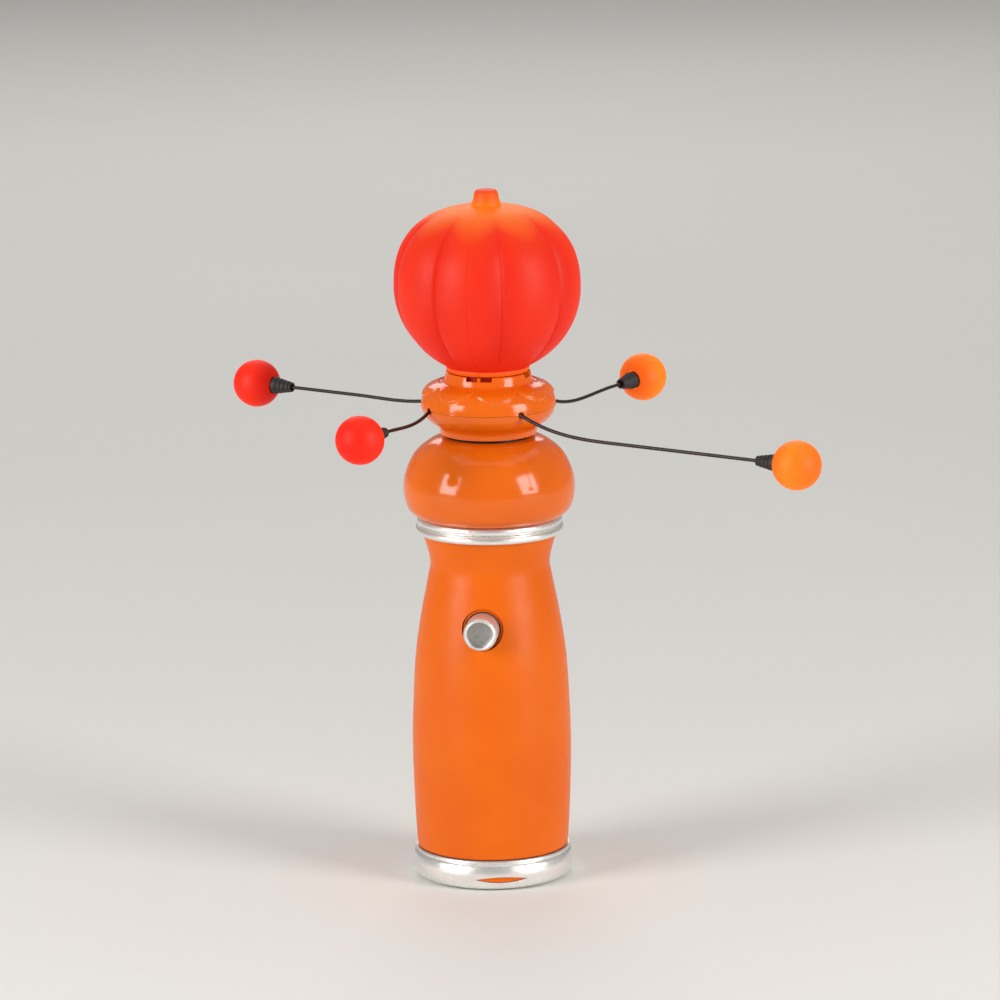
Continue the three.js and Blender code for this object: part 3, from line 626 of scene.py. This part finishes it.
def gripProfile():
    side = smooth(grip["side"], 72)
    bore = inside([point for point in side if point[1] < grip["motorRoom"] - 2], grip["wall"])
    spigotBore, spigotRadius, spigotFoot = grip["spigot"]
    neckBore, neckRadius, neckHead = grip["neck"]
    lower = eased([(spigotBore, spigotFoot, 0.2), (spigotRadius, spigotFoot, 0.3), (spigotRadius, side[0][1])])
    upper = eased([(neckRadius, side[-1][1]), (neckRadius, neckHead, 0.3), (neckBore, neckHead, 0.3)])
    foot = eased([(spigotRadius, side[0][1]), (*side[0], 0.25), side[1]])[1:-1]
    inner = [(neckBore, grip["motorRoom"])] + bore + [(spigotBore, side[0][1] + grip["wall"])]
    return lower + foot + side[1:] + upper + inner


def gripHalf(name, front):
    half = revolve(name, gripProfile(), -90.0 if front else 90.0, 180.0, 96)
    away = -grip["parting"] if front else grip["parting"]
    return placed(half, Matrix.Translation((0, away * mm, 0)))


# A lens-shaped block low on the front, from one distance from the axis to another.
def snapLens(halfWidth, rise, near, far):
    rings = []
    for depth in (near, far):
        ring = []
        for i in range(64):
            angle = 2 * math.pi * i / 64
            up = rise * math.sin(angle) * abs(math.sin(angle))
            ring.append((halfWidth * math.cos(angle), -depth, footRing["slotZ"] + up))
        rings.append(ring)
    return placed(loft("lens", rings, False), Matrix.Rotation(math.radians(footRing["slotTurn"]), 4, "Z"))


# Screw bosses behind the skin, on the front (-1) or the rear (1), trimmed to stay inside it.
def bosses(radius, side):
    z = grip["screwZ"]
    made = []
    for x in (-grip["screwX"], grip["screwX"]):
        boss = rod(radius, (x, side * grip["bossGap"], z), (x, side * 20, z))
        limit = rod(grip["bossReach"], (0, 0, z - 5), (0, 0, z + 5), 96)
        made.append(carve(boss, [limit], "INTERSECT"))
    return made


def makeFrontShell():
    front = gripHalf("front", True)
    hole = rod(grip["buttonHole"], (0, -40, buttonZ), (0, -10, buttonZ), 96)
    carve(front, [hole])
    halfWidth, rise, reach = grip["tab"]
    near = grip["spigot"][0] + 0.2
    tab = carve(snapLens(halfWidth, rise, near, 22), [rod(reach, (0, 0, 0), (0, 0, 8), 96)], "INTERSECT")
    carve(front, bosses(grip["frontBoss"], -1) + [tab], "UNION")
    fit(front, "grip", satinAbs, ["front_shell"])


def makeRearShell():
    rear = gripHalf("rear", False)
    carve(rear, bosses(grip["rearBoss"], 1), "UNION")
    seat, z = grip["screwSeat"], grip["screwZ"]
    for x in (-grip["screwX"], grip["screwX"]):
        sink = rod(grip["screwSink"], (x, seat, z), (x, 30, z))
        shank = rod(grip["screwHole"], (x, -1, z), (x, seat + 1, z), 32)
        carve(rear, [sink, shank])
    fit(rear, "grip", satinAbs, ["rear_shell"])


makeFrontShell()
makeRearShell()
print("grip made")

# ---- silver rings and battery cap

capSizes = {
    "radius": 16.6,
    "rim": (14.6, 15.8, 4.4),  # bore, radius and top of the part inside the spigot
    "screw": (0.0, -12.8),
    "bossRoom": 3.4,
}
trim = {
    "bore": 14.9,
    "foot": 88.5,
    "head": 92.9,
    "beads": ((18.6, 89.6), (18.3, 91.75)),  # radius and height of each
    "size": 1.06,
}


def makeFootRing():
    ledgeBore, ledgeTop = footRing["ledge"]
    side = smooth(footRing["side"], 28)
    lip = smooth(footRing["lip"], 12)
    profile = eased([(ledgeBore, 0.0, 0.2), *side, *lip, (footRing["bore"], lip[-1][1], 0.2),
                     (footRing["bore"], ledgeTop), (ledgeBore, ledgeTop, 0.2)])
    ring = carve(revolve("foot ring", profile, steps=192),
                 [snapLens(footRing["slotHalf"], footRing["slotRise"], 17, 24)])
    fit(ring, "grip", silverPaint, ["foot_ring"], 30)


def makeBatteryCap():
    inner, outer, top = capSizes["rim"]
    x, y = capSizes["screw"]
    cap = revolve("cap", eased([(0, 0), (capSizes["radius"], 0, 0.25), (capSizes["radius"], 1, 0.2), (outer, 1),
                                (outer, top, 0.3), (inner, top, 0.3), (inner, 2), (0, 2)]))
    sink = rod(grip["screwSink"], (x, y, -1), (x, y, 1.4))
    hole = rod(grip["screwHole"], (x, y, 0), (x, y, 3), 32)
    room = rod(capSizes["bossRoom"], (x, y, 2.05), (x, y, 6))
    carve(cap, [sink, hole, room, block((x, y + 2, 4.5), (4.4, 4, 4.9))])
    fit(cap, "grip", satinAbs, ["battery_cap"])


def makeTrimRing():
    size = trim["size"]
    beads = []
    for radius, height in trim["beads"]:
        for i in range(17):
            angle = math.radians(-80 + 10 * i)
            beads.append((radius - size * (1 - math.cos(angle)), height + size * math.sin(angle)))
    profile = [(trim["bore"], trim["foot"])] + beads + [(trim["bore"], trim["head"])]
    fit(revolve("trim", profile, steps=192), "grip", silverPaint, ["trim_ring"], 50)


makeFootRing()
makeBatteryCap()
makeTrimRing()
print("rings and cap made")

# ---- screws

screws = {
    "head": (2.0, 1.2),  # radius and height
    "shank": 1.0,
    "length": 9.0,
    "slot": (3.0, 0.5, 0.45),  # length, width and depth of each slot of the cross
}


# A pan-head screw standing head down on the XY plane, with a cross in its head.
def makeScrewPattern():
    radius, height = screws["head"]
    shank, length = screws["shank"], screws["length"]
    profile = eased([(0, 0), (radius - 0.4, 0, 0.3), (radius, 0.5, 0.3), (radius, height, 0.1), (shank, height),
                     (shank, length - 0.8), (0, length)])
    long, wide, deep = screws["slot"]
    cross = [block((0, 0, 0), (long, wide, 2 * deep)), block((0, 0, 0), (wide, long, 2 * deep))]
    return carve(revolve("screw pattern", profile, steps=48), cross)


# The tree that stands a copy of one piece on each point, turned to the point's "facing".
def makeSetterTree():
    tree, given = startTree("copies on points", [("Pattern", "Object")])
    facing = addNode(tree, "GeometryNodeInputNamedAttribute", {"data_type": "FLOAT_VECTOR", "Name": "facing"})
    turn = addNode(tree, "FunctionNodeAlignRotationToVector", {"axis": "Z"},
                   {"Vector": facing.outputs["Attribute"]})
    pattern = addNode(tree, "GeometryNodeObjectInfo", None, {"Object": given["Pattern"]})
    copies = addNode(tree, "GeometryNodeInstanceOnPoints", None,
                     {"Points": given["Geometry"], "Instance": pattern.outputs["Geometry"],
                      "Rotation": turn.outputs["Rotation"]})
    return endTree(tree, copies.outputs["Instances"], given["Material"])


def makeScrews():
    shellY = grip["screwSeat"] + 1.3
    spots = [((*capSizes["screw"], 0.15), (0, 0, 1)),
             ((-grip["screwX"], shellY, grip["screwZ"]), (0, -1, 0)),
             ((grip["screwX"], shellY, grip["screwZ"]), (0, -1, 0))]
    mesh = bpy.data.meshes.new("screws")
    mesh.from_pydata([Vector(place) * mm for place, facing in spots], [], [])
    layer = mesh.attributes.new("facing", "FLOAT_VECTOR", "POINT")
    for i, (place, facing) in enumerate(spots):
        layer.data[i].vector = facing
    piece = bpy.data.objects.new("screws", mesh)
    bpy.context.scene.collection.objects.link(piece)
    pattern = makeScrewPattern()
    grow(piece, makeSetterTree(), {"Pattern": pattern, "Material": platedSteel})
    bpy.data.objects.remove(pattern)
    fit(piece, "grip", platedSteel,
        ["battery_cap_screw", "shell_screw_left", "shell_screw_right"])


makeScrews()
print("screws made")

# ---- button

button = {
    "guide": (4.5, 5.02, 16.2),  # bore, radius and face
    "guideFlange": (6.6, 12.2, 13.4),
    "cap": 4.2,
    "capFlange": (5.6, 10.9, 11.9),
    "face": 22.9,
    "bevel": (0.55, 0.7),
    "dish": 0.6,
}


def makeButton():
    stand = Matrix.Translation((0, 0, buttonZ * mm)) @ Matrix.Rotation(math.pi / 2, 4, "X")
    bore, radius, face = button["guide"]
    flange, low, high = button["guideFlange"]
    guide = revolve("guide", eased([(bore, low), (flange, low, 0.15), (flange, high, 0.15), (radius, high),
                                    (radius, face, 0.18), (bore, face, 0.18)]), steps=96)
    fit(placed(guide, stand), "grip", satinAbs, ["button_guide"])
    flange, low, high = button["capFlange"]
    cap, face, (wide, deep) = button["cap"], button["face"], button["bevel"]
    rim = cap - wide
    dish = [(rim - 0.3, face - 0.12), (rim - 0.55, face - 0.32), (2.2, face - 0.5), (0, face - button["dish"])]
    outline = eased([(0, low), (flange, low, 0.1), (flange, high, 0.1), (cap, high), (cap, face - deep, 0.25),
                     (rim, face, 0.22), *dish])
    piece = carve(revolve("button", outline, steps=96), [rod(1.5, (0, 0, low - 1), (0, 0, high + 2))])
    grade(piece, lambda point: 1 if math.hypot(point.x, point.y) < rim - 0.35 else 0)  # the face, painted darker grey as a painted reflection of dark surroundings
    fit(placed(piece, stand), "button", buttonSilverPaintedReflection, ["button_cap"], 30)


makeButton()
print("button made")

# ---- motor housing

housing = {
    "side": ((18.6, 93.1), (20.6, 95.2), (21.5, 99.3), (21.0, 103.8), (18.6, 108.6), (14.6, 111.9), (11.3, 113.0)),
    "wall": 1.8,
    "topBore": 10.3,
    "footBore": 14.9,
    "ledge": (16.6, 1.5),  # radius and thickness of its floor
}


def makeHousing():
    side = smooth(housing["side"], 56)
    foot, top = side[0][1], side[-1][1]
    bore = inside([point for point in side if point[1] > foot + 2.2], housing["wall"])
    ledgeRadius, ledge = housing["ledge"]
    profile = eased([(housing["footBore"], foot, 0.2), (*side[0], 0.3), *side[1:], (housing["topBore"], top, 0.3),
                     (housing["topBore"], top - housing["wall"]), *bore[1:], (ledgeRadius, foot + ledge),
                     (housing["footBore"], foot + ledge)])
    fit(revolve("housing", profile, steps=192), "grip", glossAbs, ["motor_housing"])


makeHousing()
print("motor housing made")

# ---- spinning collar

collar.update({
    "parting": 120.8,
    "lower": ((12.1, 113.8), (12.6, 115.6), (14.9, 117.3), (16.3, 119.1), (16.8, 120.75)),
    "floor": (4.6, 11.0, 116.8, 118.1),  # hole, step, underside and top
    "upper": ((16.95, 120.85), (16.5, 123.4), (14.9, 125.5), (12.1, 126.6)),
    "neck": ((11.4, 126.8), (11.0, 127.3), (10.6, 129.45)),
    "wall": 1.4,
    "petals": 8,
    "petalCorner": 13.6,
    "petalReach": 2.9,
    "petalRoot": 12.5,  # radius where the raised part starts
    "petalRise": 0.45,
    "petalSlope": 0.3,  # width of the step down from a petal's edge
    "petalSwell": 0.6,  # below 1, it rounds the petals into a U
    "pane": (1.8, 3.0),  # two to a window: place from its middle, and width
    "windowTall": 1.05,
    "leadHole": 0.82,
})


# How far a point stands inside the scalloped edge, in millimetres.
def insidePetals(radius, degrees):
    wave = abs(math.sin(math.radians((degrees - collar["firstExit"]) * collar["petals"] / 2)))
    return collar["petalCorner"] + collar["petalReach"] * wave ** collar["petalSwell"] - radius


# Lifts the collar's skin inside the petals: outwards at its rim, upwards near its neck.
def risen(radius, height, degrees):
    if height < collar["parting"] + 0.6:
        return radius, height
    edge = min(insidePetals(radius, degrees), radius - collar["petalRoot"] + collar["petalSlope"])
    share = min(max(edge / collar["petalSlope"], 0), 1)
    rise = collar["petalRise"] * share * share * (3 - 2 * share)
    lean = min(max((radius - 12.0) / 4.5, 0), 1)  # 0 on the neck's side, 1 at the rim
    return radius + rise * lean, height + rise * (1 - 0.5 * lean)


def leadHoles():
    holes = []
    for k in range(4):
        start, heading = armOf(k)[:2]
        slant = math.radians(leads["slope"])
        level = Vector((math.cos(heading), math.sin(heading), 0))
        along = level * math.cos(slant) - Vector((0, 0, math.sin(slant)))
        holes.append(rod(collar["leadHole"], start - along * 4.5, start + along, 24))
    return holes


def makeLowerCollar():
    hole, step, underside, top = collar["floor"]
    side = smooth(collar["lower"], 40)
    bore = [(r, min(z, collar["parting"] - 0.05)) for r, z in inside(side[20:], collar["wall"])]
    profile = eased([(step, side[0][1], 0.25), (*side[0], 0.3), *side[1:-1], (*side[-1], 0.15), *bore,
                     (12.9, top), (hole, top, 0.2), (hole, underside, 0.2), (step, underside)])
    shell = carve(revolve("lower collar", profile, steps=192), leadHoles())
    fit(shell, "rotor", glossAbs, ["collar_lower_shell"])


def makeUpperCollar():
    dome = smooth(collar["upper"], 60)
    neck = smooth(collar["neck"], 12)
    under = [(r, max(z, collar["parting"] + 0.05)) for r, z in inside(dome, collar["wall"])]
    outer = eased([under[-1], (*dome[0], 0.15), *dome[1:]])[1:]
    inner = eased([(*neck[-1], 0.2), (9.5, neck[-1][1], 0.2), (9.7, dome[-1][1])])

    skin = {(round(r, 5), round(z, 5)) for r, z in dome}

    def shaped(radius, height, degrees):
        onSkin = (round(radius, 5), round(height, 5)) in skin
        return risen(radius, height, degrees) if onSkin else (radius, height)

    shell = revolve("upper collar", outer + neck[:-1] + inner + under, steps=288, shaped=shaped)
    top = spanOf("collar_upper_shell")[1].z
    offset, wide = collar["pane"]
    size = (wide, 30, 2 * collar["windowTall"])
    windows = [block((x, 0, top), size, collar["turn"] + turn) for turn in (0, 90) for x in (-offset, offset)]
    carve(shell, windows + leadHoles())
    fit(shell, "rotor", glossAbs, ["collar_upper_shell"])


makeLowerCollar()
makeUpperCollar()
print("collar made")

# ---- pumpkin head

head = {
    "widest": (23.5, 150.8),
    "lowerHeight": 22.0,
    "upperHeight": 20.6,
    "squareness": 2 / 2.4,  # how full its shoulders are
    "footAngle": -63.5,
    "topDip": 0.4,
    "lobes": 8,
    "lobeDepth": 1.4,
    "lobeFade": (10.6, 8.0),  # the grooves start at this radius, and are full this much further out
    "wall": 2.2,
    "neck": ((9.1, 127.6), (9.1, 129.55), (9.9, 129.55), (10.4, 130.2), (10.4, 130.9)),
    "bead": 131.2,  # top of the neck's bead, where a fine groove runs round
    "mouth": 7.5,
    "notch": 0.35,  # depth of the split's mark in the bead
    "stemHole": 2.2,
}
stem = {"foot": (3.8, 171.4), "waist": (3.3, 172.6), "top": (2.8, 175.2), "plug": (1.9, 168.4)}


def headSide(steps):
    radius, middle = head["widest"]
    low = math.radians(head["footAngle"])
    points = []
    for i in range(steps + 1):
        angle = low + (math.pi / 2 - low) * i / steps
        across, up = max(math.cos(angle), 0), math.sin(angle)
        if up < 0:
            points.append((radius * across, middle + head["lowerHeight"] * up))
        else:
            height = head["upperHeight"] * up ** head["squareness"]
            points.append((radius * across ** head["squareness"], middle + height))
    return points


# How deep the grooves between the lobes are pressed, from 0 to 1.
def grooveShare(radius, degrees):
    crest = abs(math.cos(math.radians((degrees - collar["turn"]) * head["lobes"] / 2)))
    start, width = head["lobeFade"]
    fade = min(max((radius - start) / width, 0), 1)
    return (1 - crest ** 0.6) * fade


def makeHeadHalf(left):
    side = headSide(90)
    side = [(r, z - head["topDip"] * max(0, 1 - r / 8) ** 2) for r, z in side if r > head["stemHole"]]
    core = inside(side, head["wall"])
    neck = eased([(*head["neck"][0], 0.15), head["neck"][1], (*head["neck"][2], 0.2), (*head["neck"][3], 0.3),
                  (*head["neck"][4], 0.3), (10.1, head["bead"]), side[1]])[:-1]
    profile = neck + side[1:] + core[:-1] + [(head["mouth"], core[-1][1]), (head["mouth"], head["neck"][0][1])]
    outer = {(round(r, 5), round(z, 5)) for r, z in side}
    start = collar["turn"] + (180 if left else 0)
    seat = head["neck"][1][1]  # the bead starts here

    def lobed(radius, height, degrees):
        press = head["lobeDepth"] * grooveShare(radius, degrees)
        if seat < height < head["bead"] and min(degrees - start, start + 180 - degrees) < 1:
            return radius - head["notch"], height
        return radius - press * (1 if (round(radius, 5), round(height, 5)) in outer else 0.6), height

    half = revolve("head half", profile, start, 180, 160, lobed)
    outward = math.radians(collar["turn"]) + (math.pi if left else 0)
    away = Vector((math.cos(outward), math.sin(outward), 0)) * grip["parting"]
    placed(half, Matrix.Translation(away * mm))

    def brightness(point):
        radius = math.hypot(point.x, point.y)
        degrees = math.degrees(math.atan2(point.x, -point.y))
        height = (point.z - head["widest"][1]) / head["upperHeight"]
        nearStem = max(0, height) ** 3 * 0.4
        if point.z < seat + 0.05:  # the neck's foot, out of the light
            return 0
        if point.z < head["bead"] - head["notch"]:  # the bead is thin, and glows more orange
            return 0.86
        return 0.62 + nearStem - 0.3 * max(0, -height) ** 3 - 0.25 * grooveShare(radius, degrees)

    grade(half, brightness)
    fit(half, "rotor", headGlow, ["head_shell_left" if left else "head_shell_right"])


def makeStem():
    profile = eased([(0, stem["plug"][1]), (*stem["plug"], 0.2), (stem["plug"][0], stem["foot"][1]),
                     (*stem["foot"], 0.25), (*stem["waist"], 0.8), (*stem["top"], 1.0), (0, stem["top"][1])])
    piece = revolve("stem", profile, steps=96)
    low, high = stem["foot"][1], stem["top"][1]
    grade(piece, lambda point: (point.z - low) / (high - low))
    fit(piece, "rotor", stemGlow, ["head_stem"])


makeHeadHalf(True)
makeHeadHalf(False)
makeStem()
print("head made")

# ---- lamps

lamps.update({
    "wall": 0.9,
    "mouth": 2.5,
    "mouldLine": 0.05,  # ridge where the globe's mould closed
    "inset": 0.15,  # keeps the round globe inside the faceted one's box
    "bootFoot": 1.25,
    "bootHead": 2.1,
    "bootRings": 4,
    "ledRadius": 1.5,
    "ledLength": 5.3,
    "ledRim": (1.77, 0.6),  # radius and height of the rim round its foot
})


def globeProfile():
    radius, shell, mouth = lamps["radius"] - lamps["inset"], lamps["radius"] - lamps["wall"], lamps["mouth"]
    outer = (radius, math.asin(mouth / radius), math.pi)
    inner = (shell, math.pi, math.asin(mouth / shell))
    points = []
    for size, low, high in (outer, inner):
        for i in range(41):
            angle = low + (high - low) * i / 40
            ridge = lamps["mouldLine"] if size == radius and abs(angle - math.pi / 2) < 0.04 else 0
            points.append((max((size + ridge) * math.sin(angle), 0), -(size + ridge) * math.cos(angle)))
    return points


# A strain-relief boot: a cone with rings moulded round it, and a plug that fits the globe's mouth.
def bootProfile():
    foot = 1.8 - lamps["radius"] - lamps["boot"]
    head = -lamps["radius"] - 0.2
    plug, bore = lamps["mouth"] - 0.3, leads["diameter"] / 2 + 0.3
    cone = []
    for i in range(49):
        share = i / 48
        radius = lamps["bootFoot"] + (lamps["bootHead"] - lamps["bootFoot"]) * share
        groove = 0.22 * max(0, math.sin(2 * math.pi * lamps["bootRings"] * share - 1.2)) ** 0.5
        cone.append((radius - groove, foot + (head - foot) * share))
    return eased([(bore, foot, 0.1), *cone, (plug, head + 0.4), (plug, head + 2.2, 0.2), (bore, head + 2.2)])


def makeLamp(k):
    start, heading, reach, drop = armOf(k)
    outward = Vector((math.cos(heading), math.sin(heading), 0))
    centre = start + outward * reach - Vector((0, 0, drop))
    turn = Matrix.Rotation(heading, 4, "Z") @ Matrix.Rotation(math.pi / 2, 4, "Y")
    stand = Matrix.Translation(centre * mm) @ turn
    body = f"arm_{k + 1}"
    orange = k < 2
    globe = placed(revolve("globe", globeProfile(), steps=64), stand)
    grade(globe, lambda point: 0.5 + (point - centre).dot(outward) / (2 * lamps["radius"]))
    fit(globe, body, lampOrange if orange else lampRed,
        [f"lamp_globe_{k + 1}"])
    boot = placed(revolve("boot", bootProfile(), steps=48), stand)
    fit(boot, body, bootRubber, [f"lamp_boot_{k + 1}"])
    radius, length = lamps["ledRadius"], lamps["ledLength"]
    dome = [(radius * math.cos(a), length - radius + radius * math.sin(a))
            for a in (math.pi / 2 * i / 12 for i in range(13))]
    rim, rimHeight = lamps["ledRim"]
    led = revolve("led", [(0, 0), (rim, 0), (rim, rimHeight), (radius, rimHeight), *dome[:-1], (0, length)],
                  steps=32)
    placed(led, stand @ Matrix.Translation((0, 0, -rimHeight * mm)))
    fit(led, body, ledLens, [f"lamp_led_{k + 1}"])


for arm in range(4):
    makeLamp(arm)
print("lamps made")

# ---- finishes of the pieces inside

innerFinishes = {
    innerPlastic: ("battery_carrier", "switch_body", "switch_plunger", "motor_end_cap", "motor_cradle",
                   "brush_holder", "rotor_hub"),
    platedSteel: ("battery_spring_1", "battery_spring_2", "battery_spring_3", "contact_strip_top",
                  "contact_strip_bottom", "contact_tab_top", "contact_tab_bottom", "motor_can", "motor_shaft"),
    cellJacket: ("battery_cell_1", "battery_cell_2", "battery_cell_3"),
    boardLaminate: ("circuit_board", "slip_ring_board", "head_led_board"),
    phosphorBronze: ("brush_inner", "brush_outer", "slip_ring_inner", "slip_ring_outer"),
    sinteredBronze: ("shaft_bush",),
    ledLens: ("head_led",),
}
for finish, nodes in innerFinishes.items():
    for node in nodes:
        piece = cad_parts[node]
        piece.data.materials.clear()
        piece.data.materials.append(finish)
print("inner pieces finished")

# ---- floor and light

studio = {
    "floor": 6.0,  # metres across
    "floorColour": "#d9d7d3",
    "world": 0.3,
    "boxes": (  # azimuth, height, distance, width, tall in metres, watts
        ("left softbox", -50.0, 0.4, 0.95, 0.42, 0.6, 8.0),
        ("right softbox", 63.0, 0.4, 0.95, 0.42, 0.6, 8.0),
        ("rear softbox", 190.0, 0.8, 1.4, 0.9, 0.6, 4.0),
        ("overhead softbox", 180.0, 2.6, 0.6, 3.0, 3.0, 18.5),
    ),
}


def makeFloor():
    half = studio["floor"] / 2 / mm
    floor = block((0, 0, -5), (2 * half, 2 * half, 10))
    floor.name = "floor"
    material, tree, shader = startMaterial("painted board, matt", {"IOR": 1.5})
    wear(tree, shader, {"tones": (studio["floorColour"], "#dcdad6"), "patch": 300, "grain": 3, "rough": (0.7, 0.8),
                        "relief": 0.01})
    floor.data.materials.append(material)


def makeLights():
    world = bpy.data.worlds.new("studio")
    world.use_nodes = True
    world.node_tree.nodes["Background"].inputs["Color"].default_value = linear("#f4f2ee")
    world.node_tree.nodes["Background"].inputs["Strength"].default_value = studio["world"]
    bpy.context.scene.world = world
    target = Vector((0, 0, 0.09))
    for name, azimuth, height, distance, wide, tall, watts in studio["boxes"]:
        data = bpy.data.lights.new(name, "AREA")
        data.shape = "RECTANGLE"
        data.size = wide
        data.size_y = tall
        data.energy = watts
        light = bpy.data.objects.new(name, data)
        bpy.context.scene.collection.objects.link(light)
        angle = math.radians(azimuth)
        spot = Vector((distance * math.sin(angle), -distance * math.cos(angle), height))
        aim = (target - spot).to_track_quat("-Z", "Y")
        light.matrix_world = Matrix.Translation(spot) @ aim.to_matrix().to_4x4()


makeFloor()
makeLights()
bpy.context.scene.view_settings.view_transform = "Standard"  # keeps the orange and red as full as they are
print("studio made")
